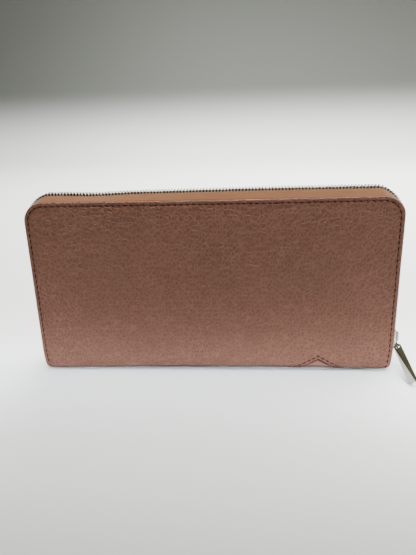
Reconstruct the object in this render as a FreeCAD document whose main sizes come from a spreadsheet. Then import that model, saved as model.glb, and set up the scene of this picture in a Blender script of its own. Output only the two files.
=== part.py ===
import FreeCAD, Part
import math
import os
import Sketcher

# Long zip-around wallet standing on its spine, in millimetres.
# Origin: centre of the spine's resting face.  +X along the wallet, -Y the front cover, +Z up.

doc = FreeCAD.newDocument("long_wallet")
dims = doc.addObject("Spreadsheet::Sheet", "dims")

SIZES = [
    # closed wallet
    ("leather_length", 195.0),
    ("leather_height", 97.0),
    ("closed_depth", 21.0),
    ("leather_thick", 1.0),
    ("corner_radius", 10.5),
    # spine, and the fold where a cover turns on it
    ("spine_bend", 5.0),
    ("spine_rise", 9.2),
    ("spine_corner", 4.0),
    ("fold_gap", 0.9),
    ("salpa_thick", 0.5),
    ("lining_thick", 0.4),
    # stitching
    ("stitch_inset", 2.0),
    ("stitch_pitch", 3.2),
    ("stitch_length", 2.3),
    ("groove_width", 0.5),
    ("groove_depth", 0.35),
    # inlay let into the spine
    ("inlay_centre", 57.5),
    ("inlay_rise", 6.8),
    ("inlay_reach", 14.0),
    # cover build-up
    ("board_thick", 0.6),
    ("board_inset", 9.5),
    ("cloth_inset", 2.0),
    ("pocket_sheet", 0.4),
    ("pocket_margin", 9.5),
    ("pocket_floor", 12.0),
    ("pocket_drop", 17.0),
    ("pocket_step", 12.5),
    # main zip
    ("tape_thick", 0.5),
    ("ridge_side", 1.2),
    ("ridge_top", 2.2),
    ("ridge_bend", 12.0),
    ("tape_edge", 1.55),
    ("tape_fold", 4.6),
    ("tape_slope", 2.2),
    ("tape_depth", 10.0),
    ("zip_start", 10.6),
    ("tooth_pitch", 1.7),
    ("tooth_length", 0.75),
    ("tooth_half", 0.9),
    ("tooth_head", 0.5),
    ("tooth_leg", 1.35),
    ("stop_length", 1.2),
    ("stop_half", 1.0),
    ("stop_head", 0.2),
    ("stop_rise", 0.7),
    ("zip_finish", 3.2),
    # dividers
    ("divider_margin", 13.5),
    ("divider_thick", 0.8),
    ("divider_foot", 4.7),
    ("divider_drop", 11.0),
    ("binding_thick", 0.3),
    ("binding_drop", 5.0),
    # coin pocket
    ("coin_margin", 12.5),
    ("coin_inner", 2.2),
    ("coin_wall", 0.8),
    ("coin_drop", 18.4),
    ("coin_zip_rise", 2.1),
    ("coin_tape", 0.4),
    ("coin_tape_edge", 1.3),
    ("coin_tape_drop", 7.0),
    ("coin_tape_gap", 0.1),
    ("coin_pitch", 1.4),
    ("coin_tooth", 0.6),
    ("coin_tooth_half", 0.6),
    ("coin_tooth_head", 0.4),
    ("coin_tooth_leg", 0.7),
    ("coin_stop_length", 1.0),
    ("coin_stop_half", 0.7),
    ("coin_stop_head", 0.15),
    ("coin_stop_inset", 2.7),
    # gussets
    ("gusset_margin", 3.0),
    ("gusset_depth", 7.0),
    ("gusset_thick", 0.35),
    ("gusset_foot", 12.0),
    ("gusset_coin_gap", 0.65),
    ("gusset_cover_gap", 0.35),
    ("gusset_pocket_gap", 0.25),
    # main slider and its bridge
    ("slider_height", 16.6),
    ("slider_half", 3.9),
    ("slider_channel", 3.1),
    ("slider_gap", 1.1),
    ("slider_plate", 1.8),
    ("slider_slot", 0.5),
    ("slider_length", 9.0),
    ("slider_wedge", 1.2),
    ("bridge_out", 4.3),
    ("bridge_strap", 0.8),
    ("bridge_low", 4.0),
    ("bridge_high", 3.0),
    ("bridge_half", 0.65),
    # pull ring and bar
    ("ring_pivot_out", 2.7),
    ("ring_pivot_drop", 2.6),
    ("ring_radius", 2.5),
    ("ring_wire", 0.4),
    ("ring_swing", 15.5),
    ("bar_orbit", 69.4),
    ("bar_roll", 33.0),
    ("bar_length", 24.6),
    ("bar_width", 4.2),
    ("bar_end_width", 4.8),
    ("bar_thick", 2.2),
    ("bar_neck", 1.5),
    ("bar_hole", 1.2),
    # coin slider, its bridge and its pull
    ("coin_slider_back", 10.5),
    ("coin_slider_half", 2.8),
    ("coin_slider_channel", 2.2),
    ("coin_slider_gap", 0.75),
    ("coin_slider_plate", 1.25),
    ("coin_slider_slot", 0.35),
    ("coin_slider_length", 6.5),
    ("coin_slider_wedge", 0.85),
    ("coin_bridge_out", 3.0),
    ("coin_bridge_strap", 0.6),
    ("coin_bridge_low", 2.9),
    ("coin_bridge_high", 2.1),
    ("coin_bridge_half", 0.5),
    ("coin_pull_length", 13.0),
    ("coin_pull_half", 1.8),
    ("coin_pull_neck", 1.5),
    ("coin_pull_thick", 0.7),
    ("coin_pull_pin", 0.35),
    ("coin_pull_window", 5.7),
    ("coin_pull_along", 1.8),
    ("coin_pull_rise", 1.85),
]

for number, (alias, value) in enumerate(SIZES, start=1):
    dims.set("A%d" % number, alias.replace("_", " "))
    dims.set("B%d" % number, "%g" % value)
    dims.setAlias("B%d" % number, alias)
doc.recompute()


def size(alias):
    return float(dims.get(alias))


# Formulas shared by the pieces: each is written once, and used both in expressions and as a number.
FORMULAS = {
    "leather_half": "leather_length / 2",
    "outer": "closed_depth / 2",
    "leather_inner": "closed_depth / 2 - leather_thick",
    "cover_foot": "spine_rise + fold_gap",
    "board_inner": "closed_depth / 2 - leather_thick - board_thick",
    "cloth_inner": "closed_depth / 2 - leather_thick - board_thick - lining_thick",
    "salpa_half": "leather_length / 2 - 3",
    "ridge_half": "leather_length / 2 + ridge_side",
    "ridge_height": "leather_height + ridge_top",
    "spine_flat": "closed_depth / 2 - spine_bend",
    "spine_inside": "leather_thick + salpa_thick + lining_thick",
    "coin_outer": "coin_inner + coin_wall",
    "pocket_face": "cloth_inner - pocket_sheet * 4",
    "leaf_gap": "pocket_face / 2 - divider_thick / 2 - coin_outer / 2",
    "divider_inner": "coin_outer + leaf_gap",
    "divider_outer": "divider_inner + divider_thick",
    "pocket_half": "leather_half - pocket_margin",
    "pocket_top": "leather_height - pocket_drop",
    "divider_half": "leather_half - divider_margin",
    "divider_top": "leather_height - divider_drop",
    "coin_half": "leather_half - coin_margin",
    "coin_top": "leather_height - coin_drop",
    "coin_zip_height": "coin_top + coin_zip_rise",
    "coin_slider_place": "coin_half - coin_slider_back",
    "gusset_outer": "leather_half - gusset_margin",
    "gusset_inner": "gusset_outer - gusset_depth",
    "gusset_top": "leather_height - pocket_drop",
    "gusset_near": "coin_outer + gusset_coin_gap",
    "gusset_far": "cloth_inner - gusset_cover_gap",
    "gusset_inner_fold": "pocket_face - gusset_pocket_gap",
    "gusset_outer_fold": "gusset_near / 2 + gusset_inner_fold / 2",
    "coin_foot": "leather_thick + salpa_thick + lining_thick",
    "coin_floor": "leather_thick + salpa_thick + lining_thick + coin_wall",
    "coin_tape_inner": "coin_outer + coin_tape_gap",
}


def formula(text):
    """Spell a formula out with the sheet's name in front of every alias."""
    words = text.replace("(", " ( ").replace(")", " ) ").split()
    spelled = []
    for word in words:
        if word in FORMULAS:
            spelled.append("(" + formula(FORMULAS[word]) + ")")
        elif word in ALIASES:
            spelled.append("dims." + word)
        else:
            spelled.append(word)
    return " ".join(spelled)


def number(text):
    """Work a formula out: sums and differences of products, read left to right."""
    total = 0.0
    product = None
    sign = 1.0
    action = "*"
    words = text.split()
    for word in words + ["+"]:
        if word in ("+", "-"):
            if product is not None:
                total += sign * product
            product = None
            action = "*"
            sign = 1.0 if word == "+" else -1.0
        elif word in ("*", "/"):
            action = word
        else:
            if word in FORMULAS:
                factor = number(FORMULAS[word])
            elif word in ALIASES:
                factor = size(word)
            else:
                factor = float(word)
            if product is None:
                product = factor
            elif action == "*":
                product *= factor
            else:
                product /= factor
    return total


ALIASES = [alias for alias, value in SIZES]
FRONT = FreeCAD.Rotation(FreeCAD.Vector(0, 0, 1), 0)
BACK = FreeCAD.Rotation(FreeCAD.Vector(0, 0, 1), 180)
SIDES = (("front", -1.0, FRONT), ("back", 1.0, BACK))
nodes = []


# ---------------------------------------------------------------- sketch and body helpers

def new_body(label):
    body = doc.addObject("PartDesign::Body", label)
    body.Label = label
    nodes.append(body)
    return body


def origin_plane(body, role):
    for feature in body.Origin.OriginFeatures:
        if feature.Role == role:
            return feature
    raise RuntimeError("no plane " + role)


def new_sketch(body, name, role, offset=None):
    sketch = body.newObject("Sketcher::SketchObject", name)
    sketch.AttachmentSupport = [(origin_plane(body, role), "")]
    sketch.MapMode = "FlatFace"
    if offset is not None:
        sketch.setExpression("AttachmentOffset.Base.z", formula(offset))
    return sketch


def hold(sketch, geo, point, across, up):
    """Fix one sketch point by two formulas, measured from the sketch's origin."""
    first = sketch.addConstraint(Sketcher.Constraint("DistanceX", -1, 1, geo, point, number(across)))
    sketch.setExpression("Constraints[%d]" % first, formula(across))
    second = sketch.addConstraint(Sketcher.Constraint("DistanceY", -1, 1, geo, point, number(up)))
    sketch.setExpression("Constraints[%d]" % second, formula(up))


def polygon(sketch, corners, closed=True):
    """A chain of straight lines whose corners are formulas."""
    points = [FreeCAD.Vector(number(a), number(b), 0) for a, b in corners]
    count = len(corners) if closed else len(corners) - 1
    lines = []
    for i in range(count):
        j = (i + 1) % len(corners)
        lines.append(sketch.addGeometry(Part.LineSegment(points[i], points[j]), False))
    for i in range(count - 1):
        sketch.addConstraint(Sketcher.Constraint("Coincident", lines[i], 2, lines[i + 1], 1))
    if closed:
        sketch.addConstraint(Sketcher.Constraint("Coincident", lines[-1], 2, lines[0], 1))
    for i in range(count):
        hold(sketch, lines[i], 1, corners[i][0], corners[i][1])
    if not closed:
        hold(sketch, lines[-1], 2, corners[-1][0], corners[-1][1])
    return lines


def arch(sketch, half, foot, top, radius, closed=True):
    """The wallet's outline seen from the front: straight sides, two round top corners."""
    w = number(half)
    z0 = number(foot)
    z1 = number(top)
    r = number(radius)
    vec = FreeCAD.Vector
    right = sketch.addGeometry(Part.LineSegment(vec(w, z0, 0), vec(w, z1 - r, 0)), False)
    circle = Part.Circle(vec(w - r, z1 - r, 0), vec(0, 0, 1), r)
    bend_a = sketch.addGeometry(Part.ArcOfCircle(circle, 0, math.pi / 2), False)
    top_line = sketch.addGeometry(Part.LineSegment(vec(w - r, z1, 0), vec(r - w, z1, 0)), False)
    circle = Part.Circle(vec(r - w, z1 - r, 0), vec(0, 0, 1), r)
    bend_b = sketch.addGeometry(Part.ArcOfCircle(circle, math.pi / 2, math.pi), False)
    left = sketch.addGeometry(Part.LineSegment(vec(-w, z1 - r, 0), vec(-w, z0, 0)), False)
    link = Sketcher.Constraint
    sketch.addConstraint(link("Tangent", right, 2, bend_a, 1))
    sketch.addConstraint(link("Tangent", bend_a, 2, top_line, 1))
    sketch.addConstraint(link("Tangent", top_line, 2, bend_b, 1))
    sketch.addConstraint(link("Tangent", bend_b, 2, left, 1))
    sketch.addConstraint(link("Vertical", right))
    sketch.addConstraint(link("Horizontal", top_line))
    sketch.addConstraint(link("Vertical", left))
    bend = sketch.addConstraint(link("Radius", bend_a, r))
    sketch.setExpression("Constraints[%d]" % bend, formula(radius))
    sketch.addConstraint(link("Equal", bend_a, bend_b))
    hold(sketch, right, 1, half, foot)
    hold(sketch, left, 2, "0 - " + half if " " not in half else negative(half), foot)
    height = sketch.addConstraint(link("DistanceY", -1, 1, top_line, 1, z1))
    sketch.setExpression("Constraints[%d]" % height, formula(top))
    if closed:
        base = sketch.addGeometry(Part.LineSegment(vec(-w, z0, 0), vec(w, z0, 0)), False)
        sketch.addConstraint(link("Coincident", left, 2, base, 1))
        sketch.addConstraint(link("Coincident", base, 2, right, 1))


def negative(text):
    """Turn every sign of a sum round."""
    words = text.split()
    turned = ["0", "-"]
    for word in words:
        if word == "+":
            turned.append("-")
        elif word == "-":
            turned.append("+")
        else:
            turned.append(word)
    return " ".join(turned)


def less(whole, part):
    """A sum with another whole sum taken away from it."""
    return whole + negative(part)[1:]


def pad(body, sketch, name, length, middle=False):
    feature = body.newObject("PartDesign::Pad", name)
    feature.Profile = sketch
    feature.Length = abs(number(length))
    feature.setExpression("Length", formula(length))
    feature.Midplane = middle
    return feature


def cut_through(body, sketch, name, depth):
    """Pocket to both sides of the sketch, and make sure that it took something away."""
    doc.recompute()
    before = body.Shape.Volume
    feature = body.newObject("PartDesign::Pocket", name)
    feature.Profile = sketch
    feature.Length = abs(number(depth))
    feature.setExpression("Length", formula(depth))
    feature.Midplane = True
    doc.recompute()
    if body.Shape.Volume > before - 1e-6:
        raise RuntimeError(name + " cut nothing from " + body.Label)
    return feature


def place(body, side, depth):
    """Stand a piece drawn on the XZ plane (it grows towards -Y) at its depth on one side."""
    sign = -1.0 if side == "front" else 1.0
    body.Placement = FreeCAD.Placement(
        FreeCAD.Vector(0, sign * number(depth), 0), FRONT if side == "front" else BACK)
    text = negative(depth) if side == "front" else depth
    body.setExpression("Placement.Base.y", formula(text))


def box(label, x0, x1, y0, y1, z0, z1):
    """A plain cut sheet or strip, bound corner by corner."""
    piece = doc.addObject("Part::Box", label)
    piece.Label = label
    piece.Length = number(x1) - number(x0)
    piece.Width = number(y1) - number(y0)
    piece.Height = number(z1) - number(z0)
    piece.Placement = FreeCAD.Placement(
        FreeCAD.Vector(number(x0), number(y0), number(z0)), FreeCAD.Rotation())
    piece.setExpression("Length", formula(x1) + " - ( " + formula(x0) + " )")
    piece.setExpression("Width", formula(y1) + " - ( " + formula(y0) + " )")
    piece.setExpression("Height", formula(z1) + " - ( " + formula(z0) + " )")
    piece.setExpression("Placement.Base.x", formula(x0))
    piece.setExpression("Placement.Base.y", formula(y0))
    piece.setExpression("Placement.Base.z", formula(z0))
    nodes.append(piece)
    return piece


def group(label, solids):
    """Many small like pieces kept as separate solids of one node."""
    piece = doc.addObject("Part::Feature", label)
    piece.Label = label
    piece.Shape = Part.makeCompound(solids)
    piece.Placement = FreeCAD.Placement()
    nodes.append(piece)
    return piece


# ---------------------------------------------------------------- spine

def spine_layer(label, outer_inset, inner_inset, half, top):
    """One layer of the spine: a U section drawn on the YZ plane, padded along the wallet."""
    body = new_body(label)
    sketch = new_sketch(body, label + "_section", "YZ_Plane")
    a = outer_inset
    b = inner_inset
    out_half = less("outer", a)
    in_half = less("outer", b)
    out_r = less("spine_bend", a)
    in_r = less("spine_bend", b)
    vec = FreeCAD.Vector
    link = Sketcher.Constraint
    geos = []
    for inset, rad, reach in ((a, out_r, out_half), (b, in_r, in_half)):
        w = number(reach)
        z0 = number(inset)
        r = number(rad)
        z1 = number(top)
        left = sketch.addGeometry(Part.LineSegment(vec(-w, z1, 0), vec(-w, z0 + r, 0)), False)
        c1 = Part.Circle(vec(r - w, z0 + r, 0), vec(0, 0, 1), r)
        bend_a = sketch.addGeometry(Part.ArcOfCircle(c1, math.pi, 1.5 * math.pi), False)
        flat = sketch.addGeometry(Part.LineSegment(vec(r - w, z0, 0), vec(w - r, z0, 0)), False)
        c2 = Part.Circle(vec(w - r, z0 + r, 0), vec(0, 0, 1), r)
        bend_b = sketch.addGeometry(Part.ArcOfCircle(c2, 1.5 * math.pi, 2 * math.pi), False)
        right = sketch.addGeometry(Part.LineSegment(vec(w, z0 + r, 0), vec(w, z1, 0)), False)
        sketch.addConstraint(link("Tangent", left, 2, bend_a, 1))
        sketch.addConstraint(link("Tangent", bend_a, 2, flat, 1))
        sketch.addConstraint(link("Tangent", flat, 2, bend_b, 1))
        sketch.addConstraint(link("Tangent", bend_b, 2, right, 1))
        sketch.addConstraint(link("Vertical", left))
        sketch.addConstraint(link("Horizontal", flat))
        sketch.addConstraint(link("Vertical", right))
        bend = sketch.addConstraint(link("Radius", bend_a, r))
        sketch.setExpression("Constraints[%d]" % bend, formula(rad))
        sketch.addConstraint(link("Equal", bend_a, bend_b))
        hold(sketch, left, 1, negative(reach), top)
        hold(sketch, right, 2, reach, top)
        depth = sketch.addConstraint(link("DistanceY", -1, 1, flat, 1, z0))
        sketch.setExpression("Constraints[%d]" % depth, formula(inset))
        geos.append((left, right))
    for k, pick in ((0, 1), (1, 2)):
        first = geos[0][k]
        second = geos[1][k]
        a0 = vec(number(out_half) * (2 * k - 1), number(top), 0)
        a1 = vec(number(in_half) * (2 * k - 1), number(top), 0)
        cap = sketch.addGeometry(Part.LineSegment(a0, a1), False)
        sketch.addConstraint(link("Coincident", cap, 1, first, pick))
        sketch.addConstraint(link("Coincident", cap, 2, second, pick))
    pad(body, sketch, label + "_run", half + " * 2", middle=True)
    return body


def round_spine_ends(body, label, half):
    """Take the two lower corners off, as seen from the front."""
    sketch = new_sketch(body, label + "_corners", "XZ_Plane")
    w = number(half)
    r = number("spine_corner")
    vec = FreeCAD.Vector
    link = Sketcher.Constraint
    for way in (1.0, -1.0):
        circle = Part.Circle(vec(way * (w - r), r, 0), vec(0, 0, 1), r)
        if way > 0:
            arc = sketch.addGeometry(Part.ArcOfCircle(circle, 1.5 * math.pi, 2 * math.pi), False)
            low = 1
            high = 2
        else:
            arc = sketch.addGeometry(Part.ArcOfCircle(circle, math.pi, 1.5 * math.pi), False)
            low = 2
            high = 1
        p_low = vec(way * (w - r), 0, 0)
        p_high = vec(way * w, r, 0)
        p_out = vec(way * (w + 2), r, 0)
        p_far = vec(way * (w + 2), -2, 0)
        p_in = vec(way * (w - r), -2, 0)
        run = [p_high, p_out, p_far, p_in, p_low]
        lines = []
        for i in range(4):
            lines.append(sketch.addGeometry(Part.LineSegment(run[i], run[i + 1]), False))
        for i in range(3):
            sketch.addConstraint(link("Coincident", lines[i], 2, lines[i + 1], 1))
        sketch.addConstraint(link("Coincident", lines[0], 1, arc, high))
        sketch.addConstraint(link("Coincident", lines[3], 2, arc, low))
        sketch.addConstraint(link("Horizontal", lines[0]))
        sketch.addConstraint(link("Vertical", lines[1]))
        sketch.addConstraint(link("Horizontal", lines[2]))
        sketch.addConstraint(link("Vertical", lines[3]))
        across = half if way > 0 else negative(half)
        inner = half + " - spine_corner" if way > 0 else negative(half + " - spine_corner")
        outward = half + " + 2" if way > 0 else negative(half + " + 2")
        hold(sketch, arc, high, across, "spine_corner")
        hold(sketch, arc, low, inner, "0")
        hold(sketch, lines[2], 1, outward, "0 - 2")
        bend = sketch.addConstraint(link("Radius", arc, r))
        sketch.setExpression("Constraints[%d]" % bend, formula("spine_corner"))
    cut_through(body, sketch, label + "_corner_cut", "closed_depth + 10")


def inlay_window(body, label, extra):
    """A plain three-cornered window that wraps under the spine."""
    sketch = new_sketch(body, label + "_window", "XZ_Plane")
    slope_run = "inlay_reach + " + extra
    polygon(sketch, [
        ("inlay_centre - " + slope_run.replace(" + ", " - "), "0 - 0.01"),
        ("inlay_centre + " + slope_run, "0 - 0.01"),
        ("inlay_centre", "inlay_rise + " + extra),
    ])
    cut_through(body, sketch, label + "_window_cut", "closed_depth + 10")


leather = spine_layer("spine_leather", "0", "leather_thick", "leather_half", "spine_rise")
round_spine_ends(leather, "spine_leather", "leather_half")
inlay_window(leather, "spine_leather", "0")

salpa = spine_layer("spine_reinforcement", "leather_thick", "leather_thick + salpa_thick",
                    "salpa_half", "spine_rise - 0.2")
inlay_window(salpa, "spine_reinforcement", "1.6")

# The inlay lies in the reinforcement's window and shows through the leather's.
inlay_sheet = spine_layer("inlay_sheet", "leather_thick", "leather_thick + salpa_thick",
                          "salpa_half", "spine_rise - 0.4")
inlay_prism = new_body("inlay_prism")
sketch = new_sketch(inlay_prism, "inlay_shape", "XZ_Plane")
polygon(sketch, [
    ("inlay_centre - inlay_reach - 1.4", "0 - 0.01"),
    ("inlay_centre + inlay_reach + 1.4", "0 - 0.01"),
    ("inlay_centre", "inlay_rise + 1.4"),
])
pad(inlay_prism, sketch, "inlay_prism_run", "closed_depth + 10", middle=True)
nodes.remove(inlay_sheet)
nodes.remove(inlay_prism)
inlay = doc.addObject("Part::Common", "spine_inlay")
inlay.Label = "spine_inlay"
inlay.Base = inlay_sheet
inlay.Tool = inlay_prism
nodes.append(inlay)

spine_layer("spine_lining", "leather_thick + salpa_thick", "spine_inside",
            "salpa_half", "spine_rise - 0.2")


# ---------------------------------------------------------------- stitches

def stitch(centre, run, out, length, width, depth):
    """One straight stitch: run is its direction, out the leather's outward direction."""
    across = out.cross(run)
    half = length / 2.0
    corner = centre - run * half - across * (width / 2.0)
    edge = [corner, corner + across * width, corner + across * width + run * length,
            corner + run * length, corner]
    face = Part.Face(Part.makePolygon(edge))
    return face.extrude(out * depth)


def arch_point(distance, half, foot, top, radius):
    """Point and direction on an arch path, measured up its right side from the foot."""
    side_run = top - radius - foot
    bend_run = radius * math.pi / 2
    top_run = 2 * (half - radius)
    if distance < side_run:
        return half, foot + distance, 0.0
    distance -= side_run
    if distance < bend_run:
        turn = distance / radius
        return (half - radius + radius * math.cos(turn),
                top - radius + radius * math.sin(turn), turn)
    distance -= bend_run
    if distance < top_run:
        return half - radius - distance, top, math.pi / 2
    distance -= top_run
    if distance < bend_run:
        turn = math.pi / 2 + distance / radius
        return (radius - half + radius * math.cos(turn),
                top - radius + radius * math.sin(turn), turn)
    distance -= bend_run
    return -half, top - radius - distance, math.pi


def arch_length(half, foot, top, radius):
    return 2 * (top - radius - foot) + 2 * (half - radius) + radius * math.pi


def cover_stitches(sign):
    inset = size("stitch_inset")
    half = number("leather_half") - inset
    foot = number("cover_foot") + 1.6
    top = size("leather_height") - inset
    radius = size("corner_radius") - inset
    total = arch_length(half, foot, top, radius)
    count = int(total / size("stitch_pitch"))
    pitch = total / count
    depth = size("groove_depth") - 0.02
    solids = []
    for i in range(count):
        x, z, turn = arch_point((i + 0.5) * pitch, half, foot, top, radius)
        run = FreeCAD.Vector(-math.sin(turn), 0, math.cos(turn))
        out = FreeCAD.Vector(0, sign, 0)
        centre = FreeCAD.Vector(x, sign * (number("outer") - depth - 0.01), z)
        solids.append(stitch(centre, run, out, size("stitch_length"),
                             size("groove_width") - 0.06, depth))
    return solids


def spine_surface(z, sign):
    """Outer surface of the spine at a height: its depth and its outward direction."""
    bend = size("spine_bend")
    outer = number("outer")
    if z >= bend:
        return sign * outer, FreeCAD.Vector(0, sign, 0)
    rise = (bend - z) / bend
    side = math.sqrt(max(0.0, 1 - rise * rise))
    return sign * (outer - bend + bend * side), FreeCAD.Vector(0, sign * side, -rise)


def spine_stitches():
    """Two slanting rows beside the inlay and a short row at each end, on both faces."""
    solids = []
    pitch = size("stitch_pitch")
    slope = size("inlay_reach") / size("inlay_rise")
    apex = size("inlay_rise") + 1.9
    for sign in (-1.0, 1.0):
        rows = []
        for way in (-1.0, 1.0):
            marks = []
            for i in range(5):
                drop = (i + 0.55) * pitch / math.sqrt(1 + slope * slope)
                marks.append((size("inlay_centre") + way * drop * slope, apex - drop, way * slope))
            rows.append(marks)
            edge = way * (number("leather_half") - size("stitch_inset"))
            rows.append([(edge, 6.9, 0.0), (edge, 4.2, 0.0)])
        for marks in rows:
            for x, z, lean in marks:
                y0, out = spine_surface(z, sign)
                y1, out_b = spine_surface(z - 0.2, sign)
                run = FreeCAD.Vector(lean * 0.2, y1 - y0, -0.2)
                run.normalize()
                across = out.cross(run)
                run = across.cross(out)
                run.normalize()
                foot = FreeCAD.Vector(x, y0, z) + out * 0.12
                solids.append(stitch(foot, run, out, size("stitch_length"), 0.44, 0.25))
    return solids


group("spine_stitching", spine_stitches())


# ---------------------------------------------------------------- covers

def flat_piece(label, side, half, foot, top, radius, thick, depth):
    """A thin sheet with the wallet's outline; depth is where its inner face lies."""
    body = new_body(label)
    sketch = new_sketch(body, label + "_outline", "XZ_Plane")
    arch(sketch, half, foot, top, radius)
    pad(body, sketch, label + "_sheet", thick)
    place(body, side, depth)
    return body


def stitch_groove(body, side):
    """The thread lies in a narrow creased groove along three sides."""
    sketch = new_sketch(body, body.Label + "_groove", "XZ_Plane", "leather_thick - groove_depth")
    reach = "leather_half - stitch_inset"
    high = "leather_height - stitch_inset"
    bend = "corner_radius - stitch_inset"
    arch(sketch, reach + " + groove_width / 2", "cover_foot - 1", high + " + groove_width / 2",
         bend + " + groove_width / 2", closed=False)
    start = sketch.GeometryCount
    arch(sketch, reach + " - groove_width / 2", "cover_foot - 1", high + " - groove_width / 2",
         bend + " - groove_width / 2", closed=False)
    vec = FreeCAD.Vector
    z0 = number("cover_foot - 1")
    for way, outer_line, outer_end, inner_line in ((1, 0, 1, start), (-1, 4, 2, start + 4)):
        a0 = vec(way * number(reach + " + groove_width / 2"), z0, 0)
        a1 = vec(way * number(reach + " - groove_width / 2"), z0, 0)
        cap = sketch.addGeometry(Part.LineSegment(a0, a1), False)
        sketch.addConstraint(Sketcher.Constraint("Coincident", cap, 1, outer_line, outer_end))
        sketch.addConstraint(Sketcher.Constraint("Coincident", cap, 2, inner_line, outer_end))
    doc.recompute()
    before = body.Shape.Volume
    feature = body.newObject("PartDesign::Pocket", body.Label + "_groove_cut")
    feature.Profile = sketch
    feature.Length = size("groove_depth") * 3
    feature.setExpression("Length", formula("groove_depth * 3"))
    feature.Reversed = True
    doc.recompute()
    if body.Shape.Volume > before - 1e-6:
        raise RuntimeError("the groove cut nothing from " + body.Label)


def zip_tape(label, side):
    """Half of the zip's tape: sewn flat inside the cover, folded up to the ridge of teeth."""
    body = new_body(label)
    path = new_sketch(body, label + "_path", "XZ_Plane")
    arch(path, "ridge_half", "zip_start", "ridge_height", "ridge_bend", closed=False)
    section = new_sketch(body, label + "_section", "XY_Plane", "zip_start")
    flat_out = negative("leather_inner")
    flat_in = negative("leather_inner - tape_thick")
    x_out = "ridge_half + tape_thick / 2"
    x_in = "ridge_half - tape_thick / 2"
    polygon(section, [
        (x_out, "0 - tape_edge"),
        (x_out, "0 - tape_fold - 0.15"),
        ("ridge_half - tape_slope + 0.15", flat_out),
        ("ridge_half - tape_depth", flat_out),
        ("ridge_half - tape_depth", flat_in),
        ("ridge_half - tape_slope - 0.15", flat_in),
        (x_in, "0 - tape_fold + 0.1"),
        (x_in, "0 - tape_edge"),
    ])
    doc.recompute()
    pipe = body.newObject("PartDesign::AdditivePipe", label + "_run")
    pipe.Profile = section
    pipe.Spine = (path, ["Edge1", "Edge2", "Edge3", "Edge4", "Edge5"])
    body.Placement = FreeCAD.Placement(
        FreeCAD.Vector(0, 0, 0), FRONT if side == "front" else BACK)
    return body


def tooth(profile, x, z, turn, sign, length):
    """One tooth: a clip-shaped section across the zip, given a short run along it."""
    out = FreeCAD.Vector(math.cos(turn), 0, math.sin(turn))
    run = FreeCAD.Vector(-math.sin(turn), 0, math.cos(turn))
    base = FreeCAD.Vector(x, 0, z) - run * (length / 2.0)
    corners = []
    for rise, depth in profile:
        corners.append(base + out * rise + FreeCAD.Vector(0, sign * depth, 0))
    corners.append(corners[0])
    return Part.Face(Part.makePolygon(corners)).extrude(run * length)


def tooth_profile(half, head, edge, leg, tape):
    """Head towards the middle, two legs clamped either side of the tape's edge."""
    slot = tape / 2.0 + 0.02
    root = edge - 0.05
    return [(-half, leg), (-half, head), (half, head), (half, leg),
            (slot, leg), (slot, root), (-slot, root), (-slot, leg)]


def zip_teeth(sign, shift):
    half = number("ridge_half")
    foot = size("zip_start")
    top = number("ridge_height")
    radius = size("ridge_bend")
    total = arch_length(half, foot, top, radius)
    start = size("slider_height") - foot - 0.1
    finish = total - size("zip_finish")
    pitch = size("tooth_pitch")
    profile = tooth_profile(size("tooth_half"), -size("tooth_head"), size("tape_edge"),
                            size("tape_edge") + size("tooth_leg"), size("tape_thick"))
    solids = []
    distance = start + shift * pitch
    while distance < finish:
        x, z, turn = arch_point(distance, half, foot, top, radius)
        solids.append(tooth(profile, x, z, turn, sign, size("tooth_length")))
        distance += pitch
    return solids


def zip_stops(sign):
    """A small metal stop at each end of the row."""
    half = number("ridge_half")
    profile = tooth_profile(size("stop_half"), size("stop_head"), size("tape_edge"),
                            size("tape_edge") + size("tooth_leg"), size("tape_thick"))
    height = size("zip_start") + size("stop_rise")
    solids = []
    for x, turn in ((half, 0.0), (-half, math.pi)):
        solids.append(tooth(profile, x, height, turn, sign, size("stop_length")))
    return solids


for side, sign, turn in SIDES:
    cover = flat_piece(side + "_cover_leather", side, "leather_half", "cover_foot",
                       "leather_height", "corner_radius", "leather_thick", "leather_inner")
    stitch_groove(cover, side)
    group(side + "_stitching", cover_stitches(sign))
    flat_piece(side + "_cover_board", side, "leather_half - board_inset", "cover_foot + 0.5",
               "leather_height - board_inset + 1", "corner_radius - board_inset + 2",
               "board_thick", "board_inner")
    flat_piece(side + "_cover_lining", side, "leather_half - cloth_inset", "cover_foot + 0.3",
               "leather_height - cloth_inset", "corner_radius - cloth_inset",
               "lining_thick", "cloth_inner")
    for row in range(4):
        label = side + "_card_pocket_" + str(row + 1)
        flat_piece(label, side, "pocket_half", "pocket_floor",
                   "pocket_top - pocket_step * %d" % row, "corner_radius / 5",
                   "pocket_sheet", "cloth_inner - pocket_sheet * %d" % (row + 1))
    zip_tape(side + "_zip_tape", side)
    group(side + "_zip_teeth", zip_teeth(sign, 0.25 if sign < 0 else 0.75))
    group(side + "_zip_stops", zip_stops(sign))


# ---------------------------------------------------------------- dividers

for side, sign, turn in SIDES:
    flat_piece(side + "_divider_panel", side, "divider_half", "divider_foot", "divider_top",
               "corner_radius / 2", "divider_thick", "divider_inner")
    label = side + "_divider_binding"
    binding = new_body(label)
    sketch = new_sketch(binding, label + "_section", "YZ_Plane")
    out = negative("divider_outer")
    inn = negative("divider_inner")
    polygon(sketch, [
        (out + " - 0.02", "divider_top - binding_drop"),
        (out + " - 0.02", "divider_top + 0.02"),
        (inn + " + 0.02", "divider_top + 0.02"),
        (inn + " + 0.02", "divider_top - binding_drop"),
        (inn + " + binding_thick", "divider_top - binding_drop"),
        (inn + " + binding_thick", "divider_top + binding_thick"),
        (out + " - binding_thick", "divider_top + binding_thick"),
        (out + " - binding_thick", "divider_top - binding_drop"),
    ])
    pad(binding, sketch, label + "_run", "divider_half * 2 - corner_radius", middle=True)
    binding.Placement = FreeCAD.Placement(
        FreeCAD.Vector(0, 0, 0), FRONT if side == "front" else BACK)


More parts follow.
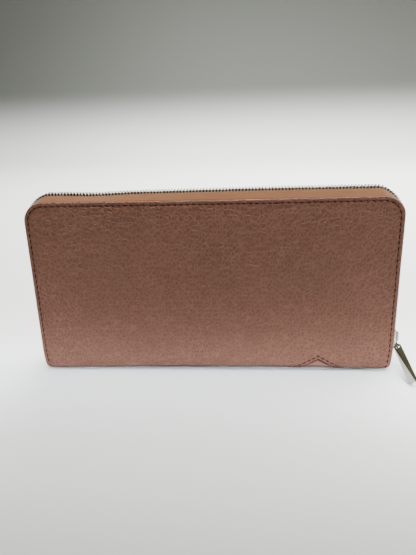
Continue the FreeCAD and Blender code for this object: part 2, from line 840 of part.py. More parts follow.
# ---------------------------------------------------------------- coin pocket

box("coin_base", "0 - coin_half", "coin_half", "0 - coin_outer", "coin_outer",
    "coin_foot", "coin_floor")
for side, sign, turn in SIDES:
    low = "0 - coin_outer" if side == "front" else "coin_inner"
    high = "0 - coin_inner" if side == "front" else "coin_outer"
    box("coin_" + side + "_wall", "0 - coin_half", "coin_half", low, high, "coin_floor", "coin_top")
for end, x0, x1 in (("left", "0 - coin_half - coin_wall", "0 - coin_half"),
                    ("right", "coin_half", "coin_half + coin_wall")):
    box("coin_" + end + "_side", x0, x1, "0 - coin_outer", "coin_outer", "coin_foot", "coin_top")


def coin_tape(label, side):
    """Tape bridging the pocket's mouth, turned down outside the wall."""
    body = new_body(label)
    sketch = new_sketch(body, label + "_section", "YZ_Plane")
    out = negative("coin_tape_inner + coin_tape")
    inn = negative("coin_tape_inner")
    high = "coin_zip_height + coin_tape / 2"
    low = "coin_zip_height - coin_tape / 2"
    polygon(sketch, [
        ("0 - coin_tape_edge", low),
        (inn, low),
        (inn, "coin_top - coin_tape_drop"),
        (out, "coin_top - coin_tape_drop"),
        (out, high),
        ("0 - coin_tape_edge", high),
    ])
    pad(body, sketch, label + "_run", "coin_half * 2 - 4", middle=True)
    body.Placement = FreeCAD.Placement(
        FreeCAD.Vector(0, 0, 0), FRONT if side == "front" else BACK)


def coin_row(sign, shift):
    leg = size("coin_tape_edge") + size("coin_tooth_leg")
    profile = tooth_profile(size("coin_tooth_half"), -size("coin_tooth_head"),
                            size("coin_tape_edge"), leg, size("coin_tape"))
    solids = []
    x = number("coin_slider_place") + 0.2 - shift * size("coin_pitch")
    while x > 3.0 - number("coin_half"):
        solids.append(coin_clip(profile, x, sign, size("coin_tooth")))
        x -= size("coin_pitch")
    return solids


def coin_clip(profile, x, sign, length):
    height = number("coin_zip_height")
    corners = []
    for rise, depth in profile:
        corners.append(FreeCAD.Vector(x - length / 2.0, sign * depth, height + rise))
    corners.append(corners[0])
    return Part.Face(Part.makePolygon(corners)).extrude(FreeCAD.Vector(length, 0, 0))


for side, sign, turn in SIDES:
    coin_tape("coin_" + side + "_tape", side)
    group("coin_" + side + "_teeth", coin_row(sign, 0.0 if sign < 0 else 0.5))
stop_leg = size("coin_tape_edge") + size("coin_tooth_leg")
stop_profile = tooth_profile(size("coin_stop_half"), size("coin_stop_head"),
                             size("coin_tape_edge"), stop_leg, size("coin_tape"))
stop_place = number("coin_half - coin_stop_inset")
stops = []
for sign in (-1.0, 1.0):
    for way in (-1.0, 1.0):
        stops.append(coin_clip(stop_profile, way * stop_place, sign, size("coin_stop_length")))
group("coin_zip_stops", stops)


# ---------------------------------------------------------------- gussets

for side, sign, turn in SIDES:
    for end, way in (("left", -1.0), ("right", 1.0)):
        label = end + "_" + side + "_gusset"
        gusset = new_body(label)
        sketch = new_sketch(gusset, label + "_folds", "XY_Plane", "gusset_foot")
        outer_x = "gusset_outer"
        inner_x = "gusset_inner"
        folds = [(inner_x, "gusset_near"), (outer_x, "gusset_outer_fold"),
                 (inner_x, "gusset_inner_fold"), (outer_x, "gusset_far")]
        thick = "gusset_thick"
        front_run = []
        back_run = []
        for x, y in folds:
            xs = x if way > 0 else negative(x)
            y_low = y
            y_high = y + " - " + thick
            if side == "front":
                front_run.append((xs, negative(y_low)))
                back_run.append((xs, negative(y_high)))
            else:
                front_run.append((xs, y_low))
                back_run.append((xs, y_high))
        polygon(sketch, front_run + back_run[::-1])
        pad(gusset, sketch, label + "_run", "gusset_top - gusset_foot")


# ---------------------------------------------------------------- sliders

def make_slider(label, kind):
    """Two plates joined by a wedge; local X is away from the wallet, nose at local -Z."""
    half = kind + "_half"
    length = kind + "_length"
    channel = kind + "_channel"
    wedge = kind + "_wedge"
    body = new_body(label)
    outline = new_sketch(body, label + "_outline", "YZ_Plane")
    polygon(outline, [
        (half + " * 0.55", "0 - " + length + " / 2"),
        (half, "0 - " + length + " * 0.36"),
        (half, length + " * 0.05"),
        (half + " * 0.86", length + " / 2"),
        ("0 - " + half + " * 0.86", length + " / 2"),
        ("0 - " + half, length + " * 0.05"),
        ("0 - " + half, "0 - " + length + " * 0.36"),
        ("0 - " + half + " * 0.55", "0 - " + length + " / 2"),
    ])
    pad(body, outline, label + "_block", kind + "_plate * 2", middle=True)
    throat = new_sketch(body, label + "_throat", "YZ_Plane")
    low = "0 - " + length + " / 2 - 1"
    high = length + " / 2 + 1"
    polygon(throat, [("0 - " + channel, low), (channel, low),
                     (channel, high), ("0 - " + channel, high)])
    polygon(throat, [
        ("0", "0 - " + length + " * 0.11"),
        ("0 - " + wedge, "0 - " + length + " * 0.29"),
        ("0 - " + wedge + " * 0.75", "0 - " + length + " * 0.49"),
        (wedge + " * 0.75", "0 - " + length + " * 0.49"),
        (wedge, "0 - " + length + " * 0.29"),
    ])
    cut_through(body, throat, label + "_throat_cut", kind + "_gap * 2")
    for way, name in (("", "a"), ("0 - ", "b")):
        lips = new_sketch(body, label + "_slot_" + name, "YZ_Plane")
        inner = channel + " - 0.2" if way == "" else "0.2 - " + channel
        outer = half + " + 1" if way == "" else "0 - " + half + " - 1"
        polygon(lips, [(inner, "0 - " + length), (outer, "0 - " + length),
                       (outer, length), (inner, length)])
        cut_through(body, lips, label + "_slot_cut_" + name, kind + "_slot * 2")
    return body


def make_bridge(label, kind, plate):
    """The raised loop on the slider that the pull hangs from."""
    out = kind + "_out"
    strap = kind + "_strap"
    low = "0 - " + kind + "_low"
    high = kind + "_high"
    body = new_body(label)
    sketch = new_sketch(body, label + "_side", "XZ_Plane")
    polygon(sketch, [
        (plate, low),
        (out + " - " + strap, low),
        (out, low + " + " + strap + " * 1.2"),
        (out, high + " - " + strap + " * 1.2"),
        (out + " - " + strap, high),
        (plate, high),
        (plate, high + " - " + strap),
        (out + " - " + strap, high + " - " + strap),
        (out + " - " + strap, low + " + " + strap),
        (plate, low + " + " + strap),
    ])
    pad(body, sketch, label + "_strap", kind + "_half * 2", middle=True)
    return body


slider = make_slider("zip_slider_body", "slider")
bridge = make_bridge("zip_slider_bridge", "bridge", "slider_plate")
for piece in (slider, bridge):
    piece.Placement = FreeCAD.Placement(
        FreeCAD.Vector(number("ridge_half"), 0, size("slider_height")), FreeCAD.Rotation())
    piece.setExpression("Placement.Base.x", formula("ridge_half"))
    piece.setExpression("Placement.Base.z", formula("slider_height"))

coin_slider = make_slider("coin_slider_body", "coin_slider")
coin_bridge = make_bridge("coin_slider_bridge", "coin_bridge", "coin_slider_plate")
# Local X points up and local -Z along +X: the nose leads towards the closed end.
coin_turn = FreeCAD.Rotation(FreeCAD.Vector(0, 0, 1), FreeCAD.Vector(0, 1, 0),
                             FreeCAD.Vector(-1, 0, 0), "ZYX")
for piece in (coin_slider, coin_bridge):
    piece.Placement = FreeCAD.Placement(
        FreeCAD.Vector(number("coin_slider_place"), 0, number("coin_zip_height")), coin_turn)
    piece.setExpression("Placement.Base.x", formula("coin_slider_place"))
    piece.setExpression("Placement.Base.z", formula("coin_zip_height"))


# ---------------------------------------------------------------- pull ring and bar

swing = math.radians(size("ring_swing"))
orbit = math.radians(size("bar_orbit"))
roll = math.radians(size("bar_roll"))
pivot = FreeCAD.Vector(number("ridge_half + ring_pivot_out"), 0,
                       number("slider_height - ring_pivot_drop"))
down = FreeCAD.Vector(math.sin(swing), 0, -math.cos(swing))
ring_axis = FreeCAD.Vector(math.cos(swing), 0, math.sin(swing))
ring_centre = pivot + down * size("ring_radius")

ring = doc.addObject("Part::Torus", "zip_pull_ring")
ring.Label = "zip_pull_ring"
ring.Radius1 = size("ring_radius")
ring.Radius2 = size("ring_wire")
ring.setExpression("Radius1", formula("ring_radius"))
ring.setExpression("Radius2", formula("ring_wire"))
ring.Placement = FreeCAD.Placement(
    ring_centre, FreeCAD.Rotation(FreeCAD.Vector(0, 0, 1), ring_axis))
nodes.append(ring)

# The bar lies round towards the front on its ring, with its far end on the table.
along = down * math.cos(orbit) + FreeCAD.Vector(0, -1, 0) * math.sin(orbit)
hole = ring_centre + along * size("ring_radius")
above = FreeCAD.Vector(0, 0, 1) - along * along.z
above.normalize()
left = FreeCAD.Vector(-1, 0, 0) + along * along.x
left = left - above * left.dot(above)
left.normalize()
face_out = above * math.cos(roll) + left * math.sin(roll)

bar = new_body("zip_pull_bar")
sketch = new_sketch(bar, "bar_outline", "XY_Plane")
vec = FreeCAD.Vector
link = Sketcher.Constraint
r = size("bar_width") / 2
end = size("bar_length")
wide = size("bar_end_width") / 2
lower = sketch.addGeometry(Part.LineSegment(vec(0, -r, 0), vec(end, -wide, 0)), False)
tip = sketch.addGeometry(Part.LineSegment(vec(end, -wide, 0), vec(end, wide, 0)), False)
upper = sketch.addGeometry(Part.LineSegment(vec(end, wide, 0), vec(0, r, 0)), False)
circle = Part.Circle(vec(0, 0, 0), vec(0, 0, 1), r)
head = sketch.addGeometry(Part.ArcOfCircle(circle, math.pi / 2, 1.5 * math.pi), False)
sketch.addConstraint(link("Coincident", lower, 2, tip, 1))
sketch.addConstraint(link("Coincident", tip, 2, upper, 1))
sketch.addConstraint(link("Coincident", upper, 2, head, 1))
sketch.addConstraint(link("Coincident", head, 2, lower, 1))
hold(sketch, lower, 1, "0", "0 - bar_width / 2")
hold(sketch, upper, 2, "0", "bar_width / 2")
hold(sketch, tip, 1, "bar_length", "0 - bar_end_width / 2")
hold(sketch, tip, 2, "bar_length", "bar_end_width / 2")
sketch.addConstraint(link("PointOnObject", head, 3, -2))
pad(bar, sketch, "bar_block", "bar_thick", middle=True)
for way, name in ((1.0, "a"), (-1.0, "b")):
    taper = new_sketch(bar, "bar_taper_" + name, "XZ_Plane")
    neck = "bar_neck / 2" if way > 0 else "0 - bar_neck / 2"
    full = "bar_thick / 2" if way > 0 else "0 - bar_thick / 2"
    over = "bar_thick" if way > 0 else "0 - bar_thick"
    polygon(taper, [("0 - bar_width", neck), ("bar_length", full),
                    ("bar_length", over), ("0 - bar_width", over)])
    cut_through(bar, taper, "bar_taper_cut_" + name, "bar_end_width * 3")
eye = new_sketch(bar, "bar_eye", "XY_Plane")
round_eye = eye.addGeometry(Part.Circle(vec(0, 0, 0), vec(0, 0, 1), size("bar_hole")), False)
eye.addConstraint(link("Coincident", round_eye, 3, -1, 1))
mark = eye.addConstraint(link("Radius", round_eye, size("bar_hole")))
eye.setExpression("Constraints[%d]" % mark, formula("bar_hole"))
cut_through(bar, eye, "bar_eye_cut", "bar_thick * 3")
doc.recompute()
bar.Placement = FreeCAD.Placement(
    hole, FreeCAD.Rotation(along, face_out.cross(along), face_out, "XZY"))

pull = new_body("coin_pull")
sketch = new_sketch(pull, "coin_pull_outline", "XY_Plane")
tail = "0 - coin_pull_length"
tip = tail + " - coin_pull_half / 3"
shoulder = "0 - coin_pull_window + 0.1"
polygon(sketch, [
    ("coin_pull_pin", "0 - coin_pull_neck"),
    ("coin_pull_pin", "coin_pull_neck"),
    (shoulder, "coin_pull_half"),
    (tail, "coin_pull_half"),
    (tip, "coin_pull_half * 0.61"),
    (tip, "0 - coin_pull_half * 0.61"),
    (tail, "0 - coin_pull_half"),
    (shoulder, "0 - coin_pull_half"),
])
pad(pull, sketch, "coin_pull_blank", "coin_pull_thick", middle=True)
window = new_sketch(pull, "coin_pull_window", "XY_Plane")
polygon(window, [
    ("0 - coin_pull_pin", "0 - coin_pull_half / 2"),
    ("0 - coin_pull_pin", "coin_pull_half / 2"),
    ("0 - coin_pull_window", "coin_pull_half / 2"),
    ("0 - coin_pull_window", "0 - coin_pull_half / 2"),
])
cut_through(pull, window, "coin_pull_window_cut", "coin_pull_thick * 4")
pull.Placement = FreeCAD.Placement(
    FreeCAD.Vector(number("coin_slider_place + coin_pull_along"), 0,
                   number("coin_zip_height + coin_pull_rise")),
    FreeCAD.Rotation())
pull.setExpression("Placement.Base.x", formula("coin_slider_place + coin_pull_along"))
pull.setExpression("Placement.Base.z", formula("coin_zip_height + coin_pull_rise"))


# ---------------------------------------------------------------- checks and files

doc.recompute()
for thing in doc.Objects:
    if "Invalid" in thing.State or "Error" in thing.State:
        raise RuntimeError("failed: " + thing.Label + " " + str(thing.State))
seen = set()
for node in nodes:
    if node.Label in seen:
        raise RuntimeError("two pieces are called " + node.Label)
    seen.add(node.Label)
    if node.Shape.isNull() or not node.Shape.isValid():
        raise RuntimeError("bad shape: " + node.Label)

os.makedirs("parts", exist_ok=True)
for node in nodes:
    node.Shape.exportStep("parts/" + node.Label + ".step")
print(len(nodes), "pieces written")
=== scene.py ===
import bpy
import bmesh
import math
from mathutils import Matrix, Vector, noise


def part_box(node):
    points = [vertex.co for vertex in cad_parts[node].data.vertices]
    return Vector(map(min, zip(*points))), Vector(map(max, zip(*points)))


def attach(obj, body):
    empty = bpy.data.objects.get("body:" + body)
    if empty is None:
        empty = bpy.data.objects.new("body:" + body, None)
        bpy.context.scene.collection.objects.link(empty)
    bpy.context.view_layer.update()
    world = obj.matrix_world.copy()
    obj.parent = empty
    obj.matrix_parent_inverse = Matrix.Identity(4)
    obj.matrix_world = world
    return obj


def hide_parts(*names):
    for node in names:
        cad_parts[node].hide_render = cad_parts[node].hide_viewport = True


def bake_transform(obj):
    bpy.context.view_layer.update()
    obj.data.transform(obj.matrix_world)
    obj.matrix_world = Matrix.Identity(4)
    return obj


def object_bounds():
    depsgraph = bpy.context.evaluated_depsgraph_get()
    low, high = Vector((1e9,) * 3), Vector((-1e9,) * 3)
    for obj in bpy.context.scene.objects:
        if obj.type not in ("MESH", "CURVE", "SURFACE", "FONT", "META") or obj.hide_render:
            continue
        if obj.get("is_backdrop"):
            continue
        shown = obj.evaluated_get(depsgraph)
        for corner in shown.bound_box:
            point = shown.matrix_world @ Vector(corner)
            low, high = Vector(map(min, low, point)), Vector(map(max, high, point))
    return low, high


# Long zip-around wallet: the look of each piece, on the CAD frame.
# Lengths in this script are millimetres until they reach a mesh.
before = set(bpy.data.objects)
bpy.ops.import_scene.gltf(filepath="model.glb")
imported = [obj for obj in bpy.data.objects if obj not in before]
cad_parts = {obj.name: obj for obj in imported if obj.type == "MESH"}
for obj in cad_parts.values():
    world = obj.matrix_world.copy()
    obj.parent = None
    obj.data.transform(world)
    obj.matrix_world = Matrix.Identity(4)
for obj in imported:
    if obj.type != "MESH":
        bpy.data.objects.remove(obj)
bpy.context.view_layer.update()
MM = 0.001

HALF = 97.5          # leather, half its length
TOP = 97.0           # leather's top edge
OUT = 10.5           # outer face of the leather
CORNER = 10.5        # round top corners
BEND = 5.0           # outer bend of the spine
FLAT = OUT - BEND    # half the spine's flat
V_BEND = FLAT + BEND * math.pi / 2      # where the bend ends, measured round the section
V_TOP = V_BEND + TOP - BEND
RIDGE_X = HALF + 1.2
RIDGE_Z = TOP + 2.2
RIDGE_BEND = 12.0
INLAY_X = 57.5       # apex of the three-cornered window
INLAY_RISE = 1.8     # its height over the bend
INLAY_SLOPE = 1.72   # how far it widens for each step down
SIDES = (("front", -1.0), ("back", 1.0))
X_AXIS, Y_AXIS, Z_AXIS = Vector((1, 0, 0)), Vector((0, 1, 0)), Vector((0, 0, 1))


# -------------------- small helpers

def smooth(t):
    t = min(1.0, max(0.0, t))
    return t * t * (3 - 2 * t)


def soft_noise(x, y, z, scale):
    return noise.noise(Vector((x * scale, y * scale, z * scale)))


def build(name, mesh, material, shade=True):
    """An object from a mesh, a pair of lists: millimetre points and faces."""
    verts, faces = mesh
    data = bpy.data.meshes.new(name)
    data.from_pydata([(x * MM, y * MM, z * MM) for x, y, z in verts], [], faces)
    data.update()
    obj = bpy.data.objects.new(name, data)
    bpy.context.scene.collection.objects.link(obj)
    data.materials.append(material)
    if shade:
        for poly in data.polygons:
            poly.use_smooth = True
    return obj


def tidy(obj, merge=0.002):
    """Join doubled points and make the faces point outwards."""
    bm = bmesh.new()
    bm.from_mesh(obj.data)
    bmesh.ops.remove_doubles(bm, verts=bm.verts, dist=merge * MM)
    bmesh.ops.recalc_face_normals(bm, faces=bm.faces)
    bm.to_mesh(obj.data)
    bm.free()
    obj.data.update()
    return obj


def size_of(node):
    """Limits of a CAD piece along x and z, and its nearest and farthest place from the middle."""
    low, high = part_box(node)
    near, far = sorted((abs(low.y), abs(high.y)))
    return low.x / MM, high.x / MM, near / MM, far / MM, low.z / MM, high.z / MM


def rounded_box(mesh, centre, run, side, out, size, bevel):
    """Add one box with chamfered edges, given its three directions."""
    verts, faces = mesh
    base = len(verts)
    a, b, c = (length / 2 for length in size)
    for depth, inner in ((-c, bevel), (bevel - c, 0.0), (c - bevel, 0.0), (c, bevel)):
        aa, bb = a - inner, b - inner
        for p, q in ((aa, bb - bevel), (aa - bevel, bb), (bevel - aa, bb), (-aa, bb - bevel),
                     (-aa, bevel - bb), (bevel - aa, -bb), (aa - bevel, -bb), (aa, bevel - bb)):
            verts.append((centre + run * p + side * q + out * depth)[:])
    sweep_faces(faces, base, 3, 8)


def sweep_faces(faces, base, steps, around):
    """Faces of a closed section swept along some steps, with both ends shut."""
    for i in range(steps):
        for j in range(around):
            a, b = base + i * around + j, base + i * around + (j + 1) % around
            faces.append((a, b, b + around, a + around))
    faces.append(tuple(base + j for j in range(around - 1, -1, -1)))
    faces.append(tuple(base + steps * around + j for j in range(around)))


def grid_faces(faces, base, rows, columns):
    """Faces of a grid of points, given its number of rows and columns."""
    for i in range(rows - 1):
        for j in range(columns - 1):
            a = base + i * columns + j
            faces.append((a, a + 1, a + columns + 1, a + columns))


def bridge_faces(faces, a, b, count):
    """Faces between two open rings of points."""
    for i in range(count - 1):
        faces.append((a + i, a + i + 1, b + i + 1, b + i))


def sheet_faces(faces, rows, columns):
    """Faces of a sheet with thickness: two grids of points and the four edges between them."""
    back = rows * columns
    grid_faces(faces, 0, rows, columns)
    grid_faces(faces, back, rows, columns)
    for a in (0, back - columns):
        bridge_faces(faces, a, a + back, columns)
    for a in range(0, back - columns, columns):
        for b in (a, a + columns - 1):
            faces.append((b, b + columns, back + b + columns, back + b))


def capsule(mesh, centre, run, out, length, width, depth, rings=4, around=8):
    """Add one rounded thread, lying along run on a face that looks out."""
    verts, faces = mesh
    base = len(verts)
    side = out.cross(run).normalized()
    reach = (length - width) / 2
    halves = [(-reach, math.pi / 2 * (1 - i / rings)) for i in range(rings + 1)]
    halves += [(reach, -math.pi / 2 * (i / rings)) for i in range(rings + 1)]
    for shift, turn in halves:
        along = shift - math.sin(turn) * width / 2
        girth = max(0.02, math.cos(turn))
        for j in range(around):
            angle = 2 * math.pi * j / around
            verts.append((centre + run * along + side * (math.cos(angle) * girth * width / 2)
                          + out * (math.sin(angle) * girth * depth / 2))[:])
    sweep_faces(faces, base, 2 * rings + 1, around)


def arch_point(distance, half, foot, top, radius):
    """Point and turn on an arch path measured from the foot of its right side."""
    side_run = top - radius - foot
    bend_run = radius * math.pi / 2
    top_run = 2 * (half - radius)
    if distance < side_run:
        return half, foot + distance, 0.0
    distance -= side_run
    if distance < bend_run:
        turn = distance / radius
        return half - radius + radius * math.cos(turn), top - radius + radius * math.sin(turn), turn
    distance -= bend_run
    if distance < top_run:
        return half - radius - distance, top, math.pi / 2
    distance -= top_run
    if distance < bend_run:
        turn = math.pi / 2 + distance / radius
        return radius - half + radius * math.cos(turn), top - radius + radius * math.sin(turn), turn
    distance -= bend_run
    return -half, top - radius - distance, math.pi


def arch_length(half, foot, top, radius):
    return 2 * (top - radius - foot) + 2 * (half - radius) + radius * math.pi


def arch_ring(d, half_at, rows, turns, columns, top, radius):
    """A panel's outline, drawn in by d: up the right side, over the top and down the left."""
    reach = columns[0]
    right = [(half_at(row) - d, row) for row in rows]
    right += [(reach + (radius - d) * math.cos(turn), top - radius + (radius - d) * math.sin(turn))
              for turn in turns]
    return right + [(x, top - d) for x in columns] + [(-x, z) for x, z in right[::-1]]


# -------------------- materials

def node_material(name):
    material = bpy.data.materials.new(name)
    material.use_nodes = True
    tree = material.node_tree
    tree.nodes.clear()
    out = tree.nodes.new("ShaderNodeOutputMaterial")
    shader = tree.nodes.new("ShaderNodeBsdfPrincipled")
    tree.links.new(shader.outputs["BSDF"], out.inputs["Surface"])
    return material, tree, shader


def coordinates(tree, scale=(1, 1, 1)):
    place = tree.nodes.new("ShaderNodeTexCoord")
    mapping = tree.nodes.new("ShaderNodeMapping")
    mapping.inputs["Scale"].default_value = scale
    tree.links.new(place.outputs["Object"], mapping.inputs["Vector"])
    return mapping.outputs["Vector"]


def noise_texture(tree, place, scale, detail=2.0):
    texture = tree.nodes.new("ShaderNodeTexNoise")
    texture.inputs["Scale"].default_value = scale
    texture.inputs["Detail"].default_value = detail
    tree.links.new(place, texture.inputs["Vector"])
    return texture.outputs


def soft_step(tree, value, start, end):
    """0 below start and 1 above end, with a soft change between them."""
    step = tree.nodes.new("ShaderNodeMapRange")
    step.interpolation_type = "SMOOTHSTEP"
    step.inputs["From Min"].default_value = start
    step.inputs["From Max"].default_value = end
    tree.links.new(value, step.inputs["Value"])
    return step.outputs["Result"]


def vector_math(tree, operation, a, b):
    node = tree.nodes.new("ShaderNodeVectorMath")
    node.operation = operation
    tree.links.new(a, node.inputs[0])
    tree.links.new(b, node.inputs[1])
    return node.outputs["Vector"]


def times_plus(tree, value, factor, add):
    node = tree.nodes.new("ShaderNodeMath")
    node.operation = "MULTIPLY_ADD"
    tree.links.new(value, node.inputs[0])
    node.inputs[1].default_value = factor
    if isinstance(add, float):
        node.inputs[2].default_value = add
    else:
        tree.links.new(add, node.inputs[2])
    return node.outputs["Value"]


def colour_mix(tree, low, high, factor, a=0.3, b=0.7):
    """From the colour low, where the factor is a, to the colour high, where it is b."""
    ramp = tree.nodes.new("ShaderNodeValToRGB")
    for element, position, colour in zip(ramp.color_ramp.elements, (a, b), (low, high)):
        element.position = position
        element.color = (*colour, 1)
    tree.links.new(factor, ramp.inputs["Fac"])
    return ramp.outputs["Color"]


def add_bump(tree, shader, height, strength, distance, below=None):
    bump = tree.nodes.new("ShaderNodeBump")
    bump.inputs["Strength"].default_value = strength
    bump.inputs["Distance"].default_value = distance
    tree.links.new(height, bump.inputs["Height"])
    if below is not None:
        tree.links.new(below, bump.inputs["Normal"])
    tree.links.new(bump.outputs["Normal"], shader.inputs["Normal"])
    return bump.outputs["Normal"]


def finish(tree, shader, colour, rough, gloss):
    tree.links.new(colour, shader.inputs["Base Color"])
    shader.inputs["Roughness"].default_value = rough
    shader.inputs["Specular IOR Level"].default_value = gloss


def pebbled_leather(name, dark, mid, grain=500.0, depth=0.00045, rough=0.5):
    """Drummed leather: rounded pebbles, with paler creases between them."""
    material, tree, shader = node_material(name)
    place = coordinates(tree, (1.04, 1, 0.82))
    push = tree.nodes.new("ShaderNodeVectorMath")
    push.operation = "SCALE"
    push.inputs["Scale"].default_value = 0.0012
    tree.links.new(noise_texture(tree, place, 260.0, 3.0)["Color"], push.inputs[0])
    cells = tree.nodes.new("ShaderNodeTexVoronoi")
    cells.feature = "DISTANCE_TO_EDGE"
    cells.inputs["Scale"].default_value = grain
    cells.inputs["Randomness"].default_value = 0.82
    tree.links.new(vector_math(tree, "ADD", place, push.outputs["Vector"]), cells.inputs["Vector"])
    dome = soft_step(tree, cells.outputs["Distance"], 0.0, 0.24)
    groove = soft_step(tree, cells.outputs["Distance"], 0.0, 0.11)
    fine = noise_texture(tree, place, 1500.0, 3.0)["Fac"]
    add_bump(tree, shader, dome, 1.0, depth, add_bump(tree, shader, fine, 0.3, 0.0001))
    broad = noise_texture(tree, place, 26.0)["Fac"]
    cloudy = times_plus(tree, broad, 0.22, times_plus(tree, groove, -0.38, 0.55))
    finish(tree, shader, colour_mix(tree, dark, mid, cloudy, 0.1, 1.1), rough, 0.35)
    return material


def smooth_leather(name, dark, mid, rough=0.55, gloss=0.5):
    material, tree, shader = node_material(name)
    place = coordinates(tree)
    broad = noise_texture(tree, place, 90.0)["Fac"]
    finish(tree, shader, colour_mix(tree, dark, mid, broad), rough, gloss)
    add_bump(tree, shader, noise_texture(tree, place, 1800.0, 4.0)["Fac"], 0.5, 0.00012)
    return material


def woven(name, dark, mid, scale=2600.0, slant=0.6, rough=0.85, sheen=0.15):
    """Cloth or tape: two crossing waves of thread."""
    material, tree, shader = node_material(name)
    place = coordinates(tree)
    both = tree.nodes.new("ShaderNodeMath")
    both.operation = "MULTIPLY"
    for number, angle in enumerate((slant, -slant)):
        turn = tree.nodes.new("ShaderNodeMapping")
        turn.inputs["Rotation"].default_value = (angle, angle, angle)
        tree.links.new(place, turn.inputs["Vector"])
        wave = tree.nodes.new("ShaderNodeTexWave")
        wave.inputs["Scale"].default_value = scale / 6.0
        wave.inputs["Distortion"].default_value = 0.6
        tree.links.new(turn.outputs["Vector"], wave.inputs["Vector"])
        tree.links.new(wave.outputs["Fac"], both.inputs[number])
    weave = both.outputs["Value"]
    finish(tree, shader, colour_mix(tree, dark, mid, weave, 0.0, 0.7), rough, 0.2)
    add_bump(tree, shader, weave, 0.8, 0.0002)
    shader.inputs["Sheen Weight"].default_value = sheen
    return material


def metal(name, colour, rough=0.16, weight=1.0):
    """Polished metal, with painted shade: its colour grows darker where the surface turns away from the
    view.
    """
    material, tree, shader = node_material(name)
    haze = noise_texture(tree, coordinates(tree), 260.0, 3.0)["Fac"]
    tree.links.new(times_plus(tree, haze, rough * 0.7, rough * 0.7), shader.inputs["Roughness"])
    turned = tree.nodes.new("ShaderNodeLayerWeight")
    turned.inputs["Blend"].default_value = 0.5
    # painted shade: a dark copy of the colour for the turned-away edges
    shade = [channel * 0.06 for channel in colour]
    tree.links.new(colour_mix(tree, colour, shade, turned.outputs["Facing"], 0.25, 0.7),
                   shader.inputs["Base Color"])
    shader.inputs["Metallic"].default_value = weight
    return material


LEATHER = pebbled_leather("pebbled_leather", (0.113, 0.0435, 0.0235), (0.284, 0.113, 0.0645))
INLAY = smooth_leather("inlay_leather", (0.19, 0.080, 0.048), (0.25, 0.110, 0.068), 0.5)
# dark edge paint, also used for painted shadow lines along the window
EDGE_PAINT_AND_SHADOW = smooth_leather("edge_paint_and_painted_shadow", (0.055, 0.019, 0.012), (0.09, 0.034, 0.022), 0.8, 0.08)
INNER = smooth_leather("inner_leather", (0.17, 0.085, 0.068), (0.25, 0.135, 0.108), 0.6)
CLOTH = woven("lining_cloth", (0.11, 0.065, 0.045), (0.21, 0.13, 0.095), 3600.0, 0.78)
TAPE = woven("zip_tape", (0.103, 0.033, 0.005), (0.235, 0.082, 0.012), 3600.0, 0.9)
THREAD = woven("waxed_thread", (0.075, 0.031, 0.018), (0.15, 0.067, 0.042), 9000.0, 0.5, 0.6, 0.0)
# painted shade: the colour of the dark marks at the needle holes
HOLE_SHADE = smooth_leather("needle_hole_shade", (0.032, 0.011, 0.008), (0.052, 0.019, 0.013), 0.9, 0.05)
NICKEL = metal("bright_nickel", (0.80, 0.78, 0.73), 0.16)
# the pull bar's two flanks: painted shade on one, a painted highlight on the other
PAINTED_SHADE_FLANK = metal("bar_nickel_painted_shade", (0.075, 0.072, 0.042), 0.3)
PAINTED_HIGHLIGHT_FLANK = metal("bar_nickel_painted_highlight", (0.60, 0.56, 0.53), 0.5, 0.5)
# painted shade: the slider's loop and the pull ring are the same nickel, coloured darker
LOOP_NICKEL_SHADE = metal("loop_nickel_in_painted_shade", (0.31, 0.30, 0.235), 0.2)
TEETH = metal("zip_teeth_metal", (0.78, 0.74, 0.64), 0.3)
# painted shade: a dark colour for the tooth heads seen in the gaps between the teeth
TEETH_GAP_SHADE = metal("zip_gap_painted_shade", (0.09, 0.07, 0.05), 0.45)


# -------------------- outer leather

def half_width(z):
    """The leather narrows a little at the spine, with round lower corners."""
    corner = 4.0
    width = HALF - 0.9 * smooth((13.0 - z) / 13.0)
    if z < corner:
        drop = corner - max(0.0, z)
        width -= corner - math.sqrt(max(0.0, corner * corner - drop * drop))
    return width


def spine_lift(x, z):
    """The spine is arched a little, so the wallet stands on its two ends."""
    return 1.15 * math.cos(math.pi * x / (2 * HALF)) * smooth((45.0 - z) / 45.0)


def top_sag(x, z):
    """The top edge hangs a little in the middle."""
    return -0.35 * math.cos(math.pi * x / (2 * HALF)) * smooth((z - 60.0) / 37.0)


STITCH_START = V_BEND - 5.0
STITCH_PITCH = 3.2
STITCH_INSET = 2.0
THREAD_SIZE = (0.6, 0.45)       # across and out of the leather
# the dark marks of painted shade at the needle holes
HOLE_SIZE = (0.78, 0.34)
HOLE_LENGTH, UPRIGHT_HOLE_LENGTH = 1.9, 2.5
THICK = 0.98
ROW = 0.8                       # between two rows of points on the cover
# the border's section: distance from the edge and height over the leather's face
PROFILE = ((0.0, -0.34), (0.15, -0.16), (0.4, 0.0), (0.8, 0.07), (1.2, 0.07), (1.5, 0.0),
           (1.7, -0.13), (1.85, -0.27), (2.0, -0.33), (2.15, -0.27), (2.3, -0.12), (2.5, 0.02),
           (2.9, 0.1), (3.6, 0.14), (5.0, 0.18), (7.5, 0.23), (10.5, 0.28))


def wrap(x, v, off):
    """From the flat leather (x along, v round the section, off outwards) to the front half."""
    if v <= FLAT:
        y = -v
        z = -min(off, 0.0)
    elif v <= V_BEND:
        turn = (v - FLAT) / BEND
        y = -FLAT - (BEND + off) * math.sin(turn)
        z = BEND - (BEND + off) * math.cos(turn)
    else:
        y = -(OUT + off)
        z = BEND + v - V_BEND
    rise = spine_lift(x, z) + top_sag(x, z)
    return x, y, z + rise


def height_of(v):
    """Height over the ground at a place round the section."""
    if v <= FLAT:
        return 0.0
    if v <= V_BEND:
        return BEND - BEND * math.cos((v - FLAT) / BEND)
    return BEND + v - V_BEND


